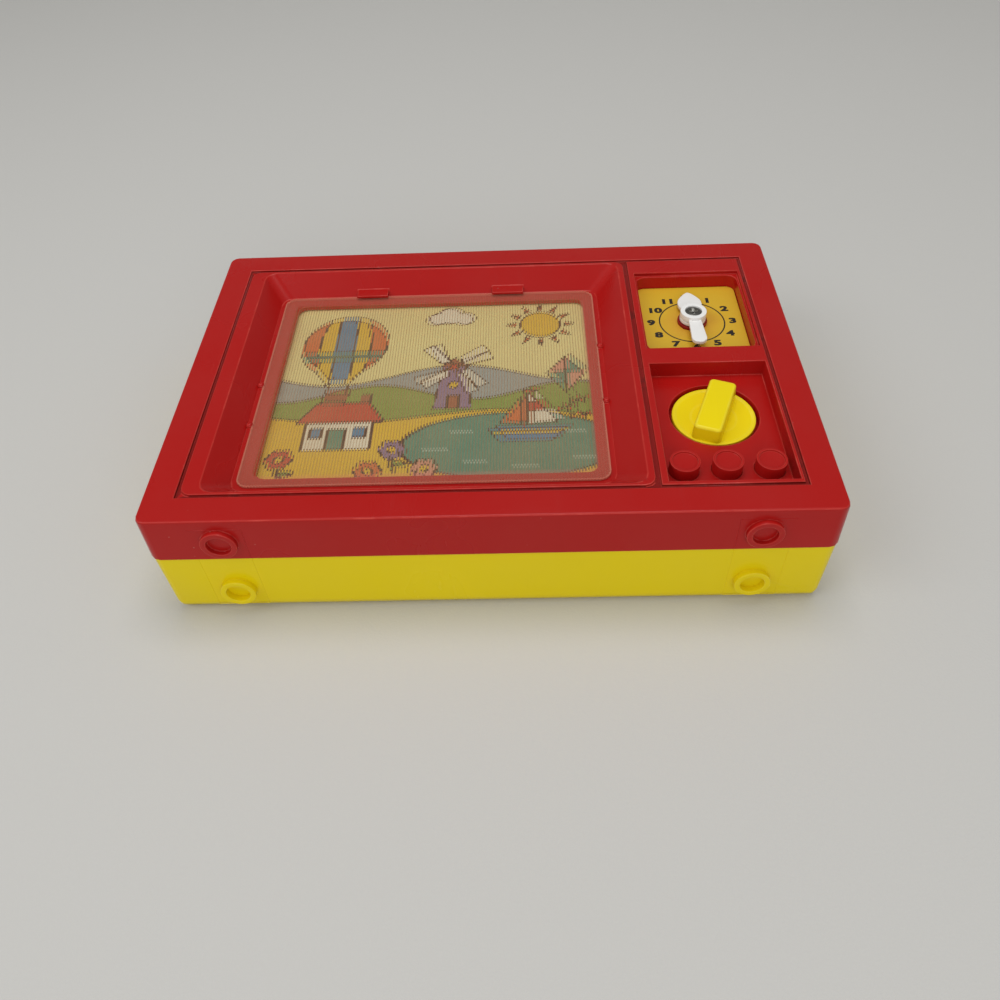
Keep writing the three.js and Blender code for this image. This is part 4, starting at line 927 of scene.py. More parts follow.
KNOB_RADIUS, KNOB_THICK, KNOB_HUB_RADIUS = 16.5 * MM, 3.0 * MM, 5 * MM
PLATE_SUNK = 7.8 * MM
LIP_WIDTH, LIP_SLOPE, LIP_DROP = 1.0 * MM, 0.6 * MM, 0.25 * MM
DISH_RADIUS, DISH_DROP, DISH_DEPTH = 9 * MM, 1.1 * MM, 1.5 * MM
BAR_HALF_LENGTH, BAR_HALF_WIDTH, BAR_TURN = 15.1 * MM, 5.4 * MM, math.radians(-21)
BAR_FOOT, BAR_ROUNDING, BAR_DRAFT = 2.5 * MM, 1.1 * MM, 0.5 * MM
knob_low, knob_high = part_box("winding_knob")
plate_top = case_high[2] - PLATE_SUNK
plate_profile = [
    (0, knob_low[2]),
    (KNOB_HUB_RADIUS, knob_low[2]),
    (KNOB_HUB_RADIUS, plate_top - KNOB_THICK),
    (KNOB_RADIUS, plate_top - KNOB_THICK),
    (KNOB_RADIUS, plate_top),
    (KNOB_RADIUS - LIP_WIDTH, plate_top),
    (KNOB_RADIUS - LIP_WIDTH - LIP_SLOPE, plate_top - LIP_DROP),
    (DISH_RADIUS, plate_top - DISH_DROP),
    (0, plate_top - DISH_DEPTH),
]
bar = grip_bar(
    BAR_HALF_LENGTH, BAR_HALF_WIDTH, plate_top - BAR_FOOT, knob_high[2], BAR_ROUNDING, BAR_DRAFT
)
bar.transform(Matrix.Translation((*knob_centre, 0)) @ Matrix.Rotation(BAR_TURN, 4, "Z"))
knob_plate = turned("knob_plate", plate_profile, knob_centre, rounding=0.5 * MM, steps=96)
knob_mesh = joined("knob", knob_plate, bar)
link_piece("knob", knob_mesh, knob_plastic, "winder", replaces=["winding_knob"])
print("knob faces:", len(knob_mesh.polygons))

# %% [markdown]
# Each push button is a short round plug with a raised rim and a flat, slightly sunk face, so that a small
# finger finds its middle. One profile serves all three.

# %% Push buttons
BUTTON_RADIUS, RIM_WIDTH, RIM_HEIGHT = 5.7 * MM, 0.9 * MM, 0.8 * MM
STEM_RADIUS, FLANGE_RADIUS, FLANGE_THICK = 1.6 * MM, 6.75 * MM, 1.4 * MM
FLANGE_TOP = case_high[2] - 9.5 * MM
for side, centre in zip(("left", "middle", "right"), button_centres):
    low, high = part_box(f"button_{side}")
    profile = [
        (0, low[2]),
        (STEM_RADIUS, low[2]),
        (STEM_RADIUS, FLANGE_TOP - FLANGE_THICK),
        (FLANGE_RADIUS, FLANGE_TOP - FLANGE_THICK),
        (FLANGE_RADIUS, FLANGE_TOP),
        (BUTTON_RADIUS, FLANGE_TOP),
        (BUTTON_RADIUS, high[2]),
        (BUTTON_RADIUS - RIM_WIDTH, high[2]),
        (BUTTON_RADIUS - RIM_WIDTH, high[2] - RIM_HEIGHT),
        (0, high[2] - RIM_HEIGHT),
    ]
    mesh = turned(f"push_button_{side}", profile, centre, rounding=0.22 * MM)
    link_piece(f"push_button_{side}", mesh, red_plastic, f"{side}_button", [f"button_{side}"])
print("buttons at", [tuple(round(v / MM, 1) for v in c) for c in button_centres])

# %% [markdown]
# The clock's card is a thin square with round corners and a round hole for the boss. Its outline and its
# hole get the same count of points at the same angles, so plain quads close the solid between them. Round
# the hands the yellow print is worn to orange, in a ring whose edge a noise makes uneven.

# %% Clock card
HOLE_RADIUS, CARD_CORNER = 6.72 * MM, 3.7 * MM
WORN_RADIUS, WHOLE_RADIUS, WORN_SPREAD = 8 * MM, 22 * MM, 9 * MM


def card_with_hole(name, node, corner, hole):
    low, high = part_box(node)
    cx, cy = (low[0] + high[0]) / 2, (low[1] + high[1]) / 2
    outline = rounded_rectangle((high[0] - low[0]) / 2, (high[1] - low[1]) / 2, corner, steps=14)
    work = bmesh.new()
    loops = []
    for z, inside in ((low[2], False), (high[2], False), (high[2], True), (low[2], True)):
        loop = []
        for x, y in outline:
            length = math.hypot(x, y)
            px, py = (x / length * hole, y / length * hole) if inside else (x, y)
            loop.append(work.verts.new((cx + px, cy + py, z)))
        loops.append(loop)
    for lower, upper in zip(loops, [*loops[1:], loops[0]]):
        for i in range(len(outline)):
            k = (i + 1) % len(outline)
            work.faces.new((lower[i], lower[k], upper[k], upper[i]))
    return finished_mesh(name, work)


def card_finish(centre):
    finish = Finish("printed_clock_card", roughness=0.55)
    place = finish.place()
    from_middle = finish.vectors("SUBTRACT", place, (*centre, 0))
    distance = finish.vectors("LENGTH", finish.vectors("MULTIPLY", from_middle, (1, 1, 0)))
    blotches = finish.noise(place, 90, 4)
    uneven = finish.number("MULTIPLY_ADD", blotches, WORN_SPREAD, distance)
    near = finish.ranged(uneven, WHOLE_RADIUS, WORN_RADIUS, 0, 0.85, interpolation_type="SMOOTHSTEP")
    colour = finish.mixed(near, rgb(218, 176, 26), rgb(212, 150, 26))
    dusty = finish.group(dust_group, Vector=place, Colour=colour, Film=0.03, Specks=0.2)
    finish.show(Base_Color=dusty["Colour"])
    finish.bump(blotches, strength=0.1, distance=0.05 * MM)
    return finish.material


clock_card_finish = card_finish(dial_centre)
card_mesh = card_with_hole("dial_card", "clock_card", CARD_CORNER, HOLE_RADIUS)
link_piece("dial_card", card_mesh, clock_card_finish, "case", replaces=["clock_card"])
print("card faces:", len(card_mesh.polygons))

# %% [markdown]
# On the card a thin black ring is printed, with the hours 1 to 12 outside it. The figures are text
# objects in Blender's own plain font, made bolder by an outward offset and a little wider. Each is turned
# into a mesh at the origin first, and only then moved to its hour, so that the object itself stays at the
# origin. The offset alone can't make them bold enough, so each figure is struck four times, a little
# aside and a hair higher each time, which keeps the four from lying in one plane.

# %% Dial print
RING_RADIUS, RING_WIDTH = 14.3 * MM, 0.58 * MM
FIGURE_RADIUS, FIGURE_SIZE, FIGURE_WIDEN = 18.0 * MM, 4.9 * MM, 1.34
FIGURE_BOLD = 0.16 * MM
STRIKE_RIGHT, STRIKE_UP, STRIKE_RISE = 0.15 * MM, 0.07 * MM, 0.003 * MM
PRINT_THICK = 0.03 * MM


def figure_mesh(text):
    curve = bpy.data.curves.new(f"figure_{text}", "FONT")
    curve.body = text
    curve.size = FIGURE_SIZE
    curve.offset = FIGURE_BOLD
    curve.extrude = PRINT_THICK / 2
    curve.resolution_u = 4
    curve.align_x = "CENTER"
    curve.align_y = "CENTER"
    carrier = bpy.data.objects.new(f"figure_{text}", curve)
    scene.collection.objects.link(carrier)
    mesh = applied(carrier)
    bpy.data.objects.remove(carrier)
    mesh.transform(Matrix.Diagonal((FIGURE_WIDEN, 1, 1, 1)))
    strikes = []
    for number, (right, up) in enumerate(((-1, -1), (1, -1), (-1, 1), (1, 1))):
        strike = mesh.copy()
        shift = (right * STRIKE_RIGHT, up * STRIKE_UP, number * STRIKE_RISE)
        strike.transform(Matrix.Translation(shift))
        strikes.append(strike)
    return joined(f"figure_{text}", *strikes)


figures = []
for hour in range(1, 13):
    angle = math.pi / 2 - hour * math.pi / 6
    mesh = figure_mesh(str(hour))
    x = dial_centre[0] + FIGURE_RADIUS * math.cos(angle)
    y = dial_centre[1] + FIGURE_RADIUS * math.sin(angle)
    mesh.transform(Matrix.Translation((x, y, card_top + PRINT_THICK / 2 + HAIR)))
    figures.append(mesh)
dial_ring = sleeve(
    "dial_ring", dial_centre, RING_RADIUS - RING_WIDTH / 2, RING_RADIUS + RING_WIDTH / 2,
    card_top + HAIR, card_top + HAIR + PRINT_THICK, rounding=0.005 * MM,
)


def ink_finish():
    """Black printing ink, which lies thin and lets a little of the card's grain through."""
    finish = Finish("printing_ink", roughness=0.5)
    gaps = finish.ranged(finish.noise(finish.place(), 1800), 0.62, 0.8)
    finish.show(Base_Color=finish.mixed(gaps, rgb(28, 24, 20), rgb(96, 74, 30)))
    return finish.material


dial_print = joined("dial_print", dial_ring, *figures)
link_piece("dial_print", dial_print, ink_finish(), "case")
print("figures on the dial:", len(figures))

# %% [markdown]
# The hands are white mouldings, loose on one post, so that a child can set a time. The hour hand ends in
# a broad leaf and the minute hand in a round-ended blade. Each outline is drawn with a few curves and
# made solid, and its edges are rounded by the same Bevel modifier as the housings.

# %% Hands


def curve_points(start, first, second, end, steps=10):
    """Points along a cubic curve, without its start."""
    points = []
    for i in range(1, steps + 1):
        t = i / steps
        u = 1 - t
        points.append(tuple(
            u ** 3 * a + 3 * u * u * t * b + 3 * u * t * t * c + t ** 3 * d
            for a, b, c, d in zip(start, first, second, end)
        ))
    return points


def flat_solid(name, outline, low, high):
    work = bmesh.new()
    bottom = [work.verts.new((x, y, low)) for x, y in outline]
    top = [work.verts.new((x, y, high)) for x, y in outline]
    work.faces.new(bottom[::-1])
    work.faces.new(top)
    for i in range(len(outline)):
        k = (i + 1) % len(outline)
        work.faces.new((bottom[i], bottom[k], top[k], top[i]))
    return finished_mesh(name, work)


def mirrored(right_side):
    """A closed outline from its right half, which runs from the bottom to the tip."""
    return right_side + [(-x, y) for x, y in reversed(right_side) if abs(x) > HAIR]


HUB_RADIUS, HAND_BORE = 5.7 * MM, 3.15 * MM
HAND_THICK, HAND_ROUNDING = 1.5 * MM, 0.28 * MM
NECK_HALF, LEAF_HALF, BLADE_END_RADIUS = 2.5 * MM, 5.6 * MM, 3.2 * MM
POCKET = 3.7 * MM
MINUTE_TURN = math.radians(1)
hour_low, hour_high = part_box("hour_hand")
hand_axis = centre_of("minute_hand")[0], dial_centre[1]
hour_tip = hour_high[1] - hand_axis[1]
leaf = hour_tip - HUB_RADIUS
widest, wide, narrow, thin = (LEAF_HALF * share for share in (1.05, 0.8, 0.55, 0.25))
hour_side = [(NECK_HALF, 0), (NECK_HALF, HUB_RADIUS * 0.95)]
hour_side += curve_points(
    hour_side[-1], (widest, HUB_RADIUS), (widest, HUB_RADIUS + leaf * 0.45), (wide, HUB_RADIUS + leaf * 0.62)
)
hour_side += curve_points(
    hour_side[-1], (narrow, HUB_RADIUS + leaf * 0.8), (thin, hour_tip * 0.985), (0, hour_tip)
)
hour_flat = flat_solid("hour_leaf", mirrored(hour_side), hour_low[2], hour_high[2])
hour_leaf = rounded_copy("hour_leaf", hour_flat, HAND_ROUNDING, segments=3)
hour_hub = sleeve("hour_hub", (0, 0), HAND_BORE, HUB_RADIUS, hour_low[2], hour_high[2], rounding=0.25 * MM)
hour_mesh = joined("hour_pointer", hour_leaf, hour_hub)
hour_mesh.transform(Matrix.Translation((*hand_axis, 0)))
link_piece("hour_pointer", hour_mesh, white_plastic, "hour", replaces=["hour_hand"])

minute_low, minute_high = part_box("minute_hand")
minute_tip = hand_axis[1] - minute_low[1]
end_middle = minute_tip - BLADE_END_RADIUS
minute_side = [(NECK_HALF, 0)]
for i in range(13):
    angle = -math.pi / 2 * i / 12
    minute_side.append((BLADE_END_RADIUS * math.cos(angle), BLADE_END_RADIUS * math.sin(angle) - end_middle))
blade_top = minute_low[2] + HAND_THICK
pocket_floor = minute_low[2] + HAND_THICK / 2
minute_flat = flat_solid("minute_blade", mirrored(minute_side), minute_low[2], blade_top)
minute_blade = rounded_copy("minute_blade", minute_flat, HAND_ROUNDING, segments=3)
minute_hub_profile = [
    (HAND_BORE, minute_low[2]),
    (HUB_RADIUS, minute_low[2]),
    (HUB_RADIUS, minute_high[2]),
    (POCKET, minute_high[2]),
    (POCKET, pocket_floor),
    (HAND_BORE, pocket_floor),
]
minute_hub = turned("minute_hub", minute_hub_profile, (0, 0))
minute_mesh = joined("minute_pointer", minute_blade, minute_hub)
minute_mesh.transform(Matrix.Translation((*hand_axis, 0)) @ Matrix.Rotation(MINUTE_TURN, 4, "Z"))
link_piece("minute_pointer", minute_mesh, white_plastic, "minute", ["minute_hand"])
print("hands reach", round(hour_tip / MM, 1), "and", round(minute_tip / MM, 1), "mm")

# %% [markdown]
# Every screw of the toy has a round head with a crossed recess. Screws repeat, so Geometry Nodes make
# them: the tree cuts a cross out of a head, adds a shank, and puts a copy on each point that it is given.
# Its sizes are named inputs, and one tree serves the long screws of the case and the short ones inside.

# %% Geometry Nodes: screws
GEOMETRY, MATERIAL = "NodeSocketGeometry", "NodeSocketMaterial"


def geometry_tree(name, inputs):
    """A new geometry tree. It takes and gives a mesh, and it has named inputs."""
    sockets = [("Geometry", GEOMETRY, None), *inputs, ("Material", MATERIAL, None)]
    return named_tree(name, "GeometryNodeTree", sockets, [("Geometry", GEOMETRY)])


def painted_with(build, geometry, material):
    real = build.made("GeometryNodeRealizeInstances", "Geometry", Geometry=geometry)
    return build.made("GeometryNodeSetMaterial", "Geometry", Geometry=real, Material=material)


def on_points(build, given, thing, **turn):
    """A painted copy of a thing on each point that the tree is given."""
    points = build.made("GeometryNodeMeshToPoints", "Points", Mesh=given["Geometry"])
    copies = build.made("GeometryNodeInstanceOnPoints", "Instances", Points=points, Instance=thing, **turn)
    return painted_with(build, copies, given["Material"])


def grown_mesh(name, tree, source, **values):
    """The plain mesh that a node tree makes from a source mesh and named values."""
    carrier = bpy.data.objects.new(name + "_carrier", source)
    scene.collection.objects.link(carrier)
    modifier = carrier.modifiers.new("grow", "NODES")
    modifier.node_group = tree
    for item in tree.interface.items_tree:
        key = item.name.replace(" ", "_")
        if item.in_out == "INPUT" and key in values:
            modifier[item.identifier] = values[key]
    mesh = applied(carrier)
    mesh.name = name
    bpy.data.objects.remove(carrier)
    return mesh


def build_screw_tree():
    build, size, result = geometry_tree("crossed_screws", [
        ("Head Radius", FLOAT, 2.6 * MM),
        ("Head Height", FLOAT, 1.8 * MM),
        ("Shank Radius", FLOAT, 1.4 * MM),
        ("Shank Length", FLOAT, 7 * MM),
        ("Cross Width", FLOAT, 0.8 * MM),
        ("Turn", VECTOR, (0, 0, 0)),
    ])

    def part_of(label, share):
        return build.number("MULTIPLY", size[label], share)

    def shifted(geometry, height):
        place = build.vector(0, 0, height)
        return build.made("GeometryNodeTransform", "Geometry", Geometry=geometry, Translation=place)

    crown = build.made(
        "GeometryNodeMeshCone", "Mesh", Vertices=24, Radius_Top=part_of("Head Radius", 0.8),
        Radius_Bottom=size["Head Radius"], Depth=part_of("Head Height", 0.25),
    )
    skirt = build.made(
        "GeometryNodeMeshCylinder", "Mesh", Vertices=24, Radius=size["Head Radius"],
        Depth=part_of("Head Height", 0.75),
    )
    shank = build.made(
        "GeometryNodeMeshCylinder", "Mesh", Vertices=12, Radius=size["Shank Radius"],
        Depth=size["Shank Length"],
    )
    long_side, deep = part_of("Head Radius", 1.15), part_of("Head Height", 1.2)
    crosses = []
    for sides in ((long_side, size["Cross Width"]), (size["Cross Width"], long_side)):
        cross = build.made("GeometryNodeMeshCube", "Mesh", Size=build.vector(*sides, deep))
        crosses.append(shifted(cross, part_of("Head Height", 1.05)))
    parts = [shifted(crown, part_of("Head Height", 0.75)), shifted(skirt, part_of("Head Height", 0.375))]
    union = {"operation": "UNION"}
    difference = {"operation": "DIFFERENCE"}
    head = build.made("GeometryNodeMeshBoolean", "Mesh", union, Mesh_2=parts)
    head = build.made("GeometryNodeMeshBoolean", "Mesh", difference, Mesh_1=head, Mesh_2=crosses)
    sunk_shank = shifted(shank, part_of("Shank Length", -0.5))
    whole = build.made("GeometryNodeJoinGeometry", "Geometry", Geometry=[head, sunk_shank])
    build.join(on_points(build, size, whole, Rotation=size["Turn"]), result["Geometry"])
    return build.tree


def places_mesh(name, places):
    mesh = bpy.data.meshes.new(name)
    mesh.from_pydata(places, [], [])
    return mesh


SCREW_HEAD = 1.8 * MM
screw_tree = build_screw_tree()


def screw_set(prefix, count):
    """All screws of one kind as one piece. Their heads face the back of the toy."""
    names = [f"{prefix}_{i}" for i in range(1, count + 1)]
    low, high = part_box(names[0])
    seats = [(*centre_of(name)[:2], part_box(name)[0][2] + SCREW_HEAD) for name in names]
    mesh = grown_mesh(
        prefix + "s", screw_tree, places_mesh(prefix, seats), Head_Radius=(high[1] - low[1]) / 2,
        Head_Height=SCREW_HEAD, Shank_Length=high[2] - low[2] - SCREW_HEAD, Turn=(math.pi, 0.0, 0.0),
        Material=steel,
    )
    smooth_by_angle(mesh)
    link_piece(prefix + "s", mesh, steel, "case", replaces=names)
    return len(mesh.polygons)


SCREW_COUNTS = {"housing_screw": 6, "guide_screw": 4, "button_plate_screw": 2, "movement_screw": 4}
for prefix, count in SCREW_COUNTS.items():
    print(prefix, "faces:", screw_set(prefix, count))

# %% [markdown]
# The screw on the clock is the one that shows. Its head has gone dark. The faces inside its crossed recess
# are marked as polished and painted bright: partly a screwdriver's polish, partly a painted glint.

# %% The clock's screw
CLOCK_HEAD_RADIUS, CLOCK_HEAD = 3.5 * MM, 1.35 * MM
CLOCK_SHANK_RADIUS, CLOCK_CROSS_WIDTH = 1.0 * MM, 1.0 * MM
RECESS_START, RECESS_REACH = 0.05 * MM, 2.3 * MM
clock_low, clock_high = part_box("clock_screw")
clock_seat = clock_high[2] - CLOCK_HEAD
clock_mesh = grown_mesh(
    "crossed_clock_screw", screw_tree, places_mesh("clock_seat", [(*hand_axis, clock_seat)]),
    Head_Radius=CLOCK_HEAD_RADIUS, Head_Height=CLOCK_HEAD, Shank_Radius=CLOCK_SHANK_RADIUS,
    Cross_Width=CLOCK_CROSS_WIDTH, Shank_Length=clock_seat - clock_low[2], Material=dark_steel,
)
smooth_by_angle(clock_mesh)


def in_recess(place):
    deep = RECESS_START < clock_high[2] - place.z < CLOCK_HEAD
    return deep and math.dist(place.xy, hand_axis) < RECESS_REACH


# Painted glint: the faces inside the cross get the bright metal colour.
polished_glint = [float(in_recess(face.center)) for face in clock_mesh.polygons]
mark_faces(clock_mesh, "edge", polished_glint)
link_piece("crossed_clock_screw", clock_mesh, dark_steel, "case", ["clock_screw"])
print("clock screw faces:", len(clock_mesh.polygons), "polished:", int(sum(polished_glint)))

# %% [markdown]
# Under each button a coil spring of steel wire brings it back up. A coil follows a rule, so Geometry
# Nodes wind it: a spiral curve with a named radius, height and number of turns, along which a round wire
# is swept.

# %% Geometry Nodes: button springs
WIRE_RADIUS, COIL_TURNS = 0.3 * MM, 4.0


def build_coil_tree():
    build, size, result = geometry_tree("wire_coil", [
        ("Coil Radius", FLOAT, 3.6 * MM),
        ("Wire Radius", FLOAT, WIRE_RADIUS),
        ("Height", FLOAT, 6 * MM),
        ("Turns", FLOAT, COIL_TURNS),
    ])
    spiral = build.made(
        "GeometryNodeCurveSpiral", "Curve", Resolution=28, Rotations=size["Turns"],
        Start_Radius=size["Coil Radius"], End_Radius=size["Coil Radius"], Height=size["Height"],
    )
    section = build.made(
        "GeometryNodeCurvePrimitiveCircle", "Curve", Resolution=10, Radius=size["Wire Radius"]
    )
    wire = build.made(
        "GeometryNodeCurveToMesh", "Mesh", Curve=spiral, Profile_Curve=section, Fill_Caps=True
    )
    build.join(on_points(build, size, wire), result["Geometry"])
    return build.tree


coil_tree = build_coil_tree()
for side, centre in zip(("left", "middle", "right"), button_centres):
    low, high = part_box(f"button_spring_{side}")
    coil_height = high[2] - low[2]
    mesh = grown_mesh(
        f"coil_spring_{side}", coil_tree, places_mesh("coil_seat", [(*centre, low[2] + WIRE_RADIUS)]),
        Coil_Radius=(high[1] - low[1]) / 2 - WIRE_RADIUS, Wire_Radius=WIRE_RADIUS,
        Height=coil_height - 2 * WIRE_RADIUS, Turns=COIL_TURNS, Material=steel,
    )
    smooth_by_angle(mesh)
    coil = link_piece(f"coil_spring_{side}", mesh, steel, "case", [f"button_spring_{side}"])
    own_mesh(coil)

# %% [markdown]
# The window is covered by a clear plastic sheet with fine upright ribs. Each rib is a small lens that
# shows every second column of the print behind it, and this is how the printed figures seem to move. The
# sheet follows a rule from end to end, so Geometry Nodes make it from one finely divided box: the top is
# raised into ribs by a formula, and the ends of the ribs near the corners are drawn in along a quarter
# circle. The sheet's finish paints shade into the valleys between the ribs and a highlight along the rim,
# and makes a margin along the rim milkier, with less of the painted shade.

# %% Geometry Nodes: ribbed sheet
SHEET_THICK, RIB_HEIGHT, RIB_PITCH = 0.5 * MM, 0.35 * MM, 1.2 * MM
SHEET_CORNER = 5 * MM
LIT_WIDTH, LIT_BLUR = 0.5 * MM, 0.3 * MM
MARGIN_CORNER, MARGIN_WIDTH, MARGIN_BLUR = 8 * MM, 5.4 * MM, 0.5 * MM


def build_sheet_tree():
    build, size, result = geometry_tree("ribbed_sheet", [
        ("Width", FLOAT, 0.15),
        ("Height", FLOAT, 0.12),
        ("Thickness", FLOAT, SHEET_THICK),
        ("Rib Height", FLOAT, RIB_HEIGHT),
        ("Ribs", "NodeSocketInt", 120),
        ("Corner", FLOAT, SHEET_CORNER),
    ])
    number, corner = build.number, size["Corner"]
    extent = build.vector(size["Width"], size["Height"], size["Thickness"])
    cuts = number("MULTIPLY_ADD", size["Ribs"], 4, 1)
    box = build.made("GeometryNodeMeshCube", "Mesh", Size=extent, Vertices_X=cuts)
    x, y, z = build.split(build.add("GeometryNodeInputPosition").outputs["Position"])
    along = number("MULTIPLY", number("ADD", number("DIVIDE", x, size["Width"]), 0.5), size["Ribs"])
    phase = number("MULTIPLY_ADD", number("FRACT", along), 2, -1)
    crest = number("SUBTRACT", 1, number("MULTIPLY", phase, phase))
    on_top = number("GREATER_THAN", z, 0)
    lift = number("MULTIPLY", number("MULTIPLY", crest, size["Rib Height"]), on_top)
    from_end = number("SUBTRACT", number("MULTIPLY", size["Width"], 0.5), number("ABSOLUTE", x))
    into = number("MAXIMUM", number("SUBTRACT", corner, from_end), 0)
    square = number("SUBTRACT", number("MULTIPLY", corner, corner), number("MULTIPLY", into, into))
    inset = number("SUBTRACT", corner, number("SQRT", number("MAXIMUM", square, 0)))
    reach = number("SUBTRACT", number("MULTIPLY", size["Height"], 0.5), inset)
    side = number("MULTIPLY", number("SIGN", y), reach)
    place = build.vector(x, side, number("ADD", z, lift))
    shape = build.made("GeometryNodeSetPosition", "Geometry", Geometry=box, Position=place)
    build.join(painted_with(build, shape, size["Material"]), result["Geometry"])
    return build.tree


def rim_mask(finish, place, half_size, corner, width, blur):
    """1 on a band of the given width along the outline of a rounded rectangle, 0 inside it."""
    aside = finish.vectors("ABSOLUTE", finish.vectors("SUBTRACT", place, (*sheet_centre[:2], 0)))
    straight = (half_size[0] - corner, half_size[1] - corner, 0)
    beyond = finish.vectors("MAXIMUM", finish.vectors("SUBTRACT", aside, straight), (0, 0, 0))
    distance = finish.vectors("LENGTH", finish.vectors("MULTIPLY", beyond, (1, 1, 0)))
    return finish.ranged(distance, corner - width - blur, corner - width)


def clear_finish(start, pitch, half_size):
    """Clear plastic that has yellowed. Alpha lets the card show through, less in a valley and at the rim."""
    finish = Finish("clear_yellowed_plastic", roughness=0.2)
    finish.shader.inputs["Specular IOR Level"].default_value = 0.3
    place = finish.place()
    # The rim's paler colour and denser cover are a painted highlight along the edge of the sheet.
    rim = rim_mask(finish, place, half_size, SHEET_CORNER, LIT_WIDTH, LIT_BLUR)
    margin = rim_mask(finish, place, half_size, MARGIN_CORNER, MARGIN_WIDTH, MARGIN_BLUR)
    along = finish.ranged(finish.split(place)["X"], start, start + pitch, clamp=False)
    # Painted shade: the cover rises towards each valley between the ribs, so the valleys look darker.
    from_valley = finish.number("PINGPONG", along, 0.5)
    valley = finish.ranged(from_valley, 0.26, 0, 0, 0.34, interpolation_type="SMOOTHSTEP")
    clouds = finish.noise(place, 25, 3)
    calm = finish.number("MULTIPLY_ADD", margin, -0.7, 1)
    ribbed = finish.number("MULTIPLY", valley, calm)
    milky = finish.number("MULTIPLY_ADD", margin, 0.11, finish.ranged(clouds, 0.3, 0.7, 0.05, 0.1))
    cover = finish.number("MULTIPLY_ADD", rim, 0.3, finish.number("ADD", ribbed, milky))
    yellowed = finish.mixed(clouds, rgb(150, 100, 62), rgb(196, 156, 112))
    rosy = finish.mixed(margin, yellowed, rgb(214, 136, 112))
    finish.show(Base_Color=finish.mixed(rim, rosy, rgb(222, 142, 118)), Alpha=cover)
    return finish.material


sheet_low, sheet_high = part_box("screen_sheet")
sheet_centre = centre_of("screen_sheet")
sheet_width, sheet_height = sheet_high[0] - sheet_low[0], sheet_high[1] - sheet_low[1]
rib_count = round(sheet_width / RIB_PITCH)
clear_plastic = clear_finish(sheet_low[0], sheet_width / rib_count, (sheet_width / 2, sheet_height / 2))
sheet_mesh = grown_mesh(
    "ribbed_sheet", build_sheet_tree(), places_mesh("nothing", []), Width=sheet_width, Height=sheet_height,
    Thickness=SHEET_THICK, Rib_Height=RIB_HEIGHT, Ribs=rib_count, Corner=SHEET_CORNER,
    Material=clear_plastic,
)
sheet_middle = sheet_low[2] + SHEET_THICK / 2
sheet_mesh.transform(Matrix.Translation((*sheet_centre[:2], sheet_middle)))
print("ribs:", rib_count, "faces:", len(sheet_mesh.polygons))

# %% [markdown]
# At each short side two studs of the housing stand in round notches of the sheet. The notches are cut
# with a Boolean modifier, which takes four round bars away from the ribbed sheet.

# %% Notches for the studs
STUD_SHARES = {-1: (-0.016, -0.426), 1: (0.328, -0.262)}
STUD_OUT, NOTCH_RADIUS = 1.1 * MM, 1.7 * MM
RIB_ANGLE = math.radians(45)


def carved(mesh, cutter):
    """The mesh with another closed mesh taken away from it."""
    carrier = bpy.data.objects.new("carved_work", mesh)
    tool = bpy.data.objects.new("carving_tool", cutter)
    for thing in (carrier, tool):
        scene.collection.objects.link(thing)
    step = carrier.modifiers.new("carve", "BOOLEAN")
    step.operation = "DIFFERENCE"
    step.solver = "EXACT"
    step.object = tool
    result = applied(carrier)
    result.name = mesh.name
    for thing in (carrier, tool):
        bpy.data.objects.remove(thing)
    return result


bars = []
bar_low, bar_high = sheet_low[2] - MM, sheet_high[2] + MM
bar_profile = [(0, bar_low), (NOTCH_RADIUS, bar_low), (NOTCH_RADIUS, bar_high), (0, bar_high)]
for side, shares in STUD_SHARES.items():
    x = sheet_centre[0] + side * (sheet_width / 2 + STUD_OUT)
    for share in shares:
        y = sheet_centre[1] + share * sheet_height / 2
        bars.append(turned("bar", bar_profile, (x, y), rounding=HAIR, steps=24))
sheet_mesh = carved(sheet_mesh, joined("bars", *bars))
sheet_mesh.materials.clear()
smooth_by_angle(sheet_mesh, RIB_ANGLE)
link_piece("ribbed_sheet", sheet_mesh, clear_plastic, "case", ["screen_sheet"])
print("sheet faces after carving:", len(sheet_mesh.polygons))

# %% [markdown]
# The picture behind the sheet is printed in narrow columns. Odd columns belong to one picture and even
# ones to a second, in which some things have moved, so the outlines look torn into upright strips. The
# motifs are plain shapes: each is a small formula that tells how far a point lies from the shape's edge.
# That gives both the filled colour and an even dark outline.

# %% Shapes of the print, in millimetres from the middle of the card


def disc(x, y, radius):
    return lambda px, py: np.hypot(px - x, py - y) - radius


def oval(x, y, half_x, half_y):
    return lambda px, py: (np.hypot((px - x) / half_x, (py - y) / half_y) - 1) * min(half_x, half_y)


def polygon(*corners):
    """Distance to a polygon: the nearest side, with its sign from the count of sides crossed."""
    def distance(px, py):
        nearest = np.full(px.shape, 1e9)
        inside = np.zeros(px.shape, bool)
        for (x0, y0), (x1, y1) in zip(corners, corners[1:] + corners[:1]):
            dx, dy = x1 - x0, y1 - y0
            share = np.clip(((px - x0) * dx + (py - y0) * dy) / (dx * dx + dy * dy), 0, 1)
            nearest = np.minimum(nearest, np.hypot(px - x0 - share * dx, py - y0 - share * dy))
            if dy:
                crosses = ((y0 > py) != (y1 > py)) & (px < x0 + dx * (py - y0) / dy)
                inside ^= crosses
        return np.where(inside, -nearest, nearest)
    return distance


def below(level, swing, length, phase=0.0):
    """All that lies under a wavy line."""
    return lambda px, py: py - level - swing * np.sin(px / length + phase)


def either(*shapes):
    return lambda px, py: np.minimum.reduce([shape(px, py) for shape in shapes])


def both(*shapes):
    return lambda px, py: np.maximum.reduce([shape(px, py) for shape in shapes])


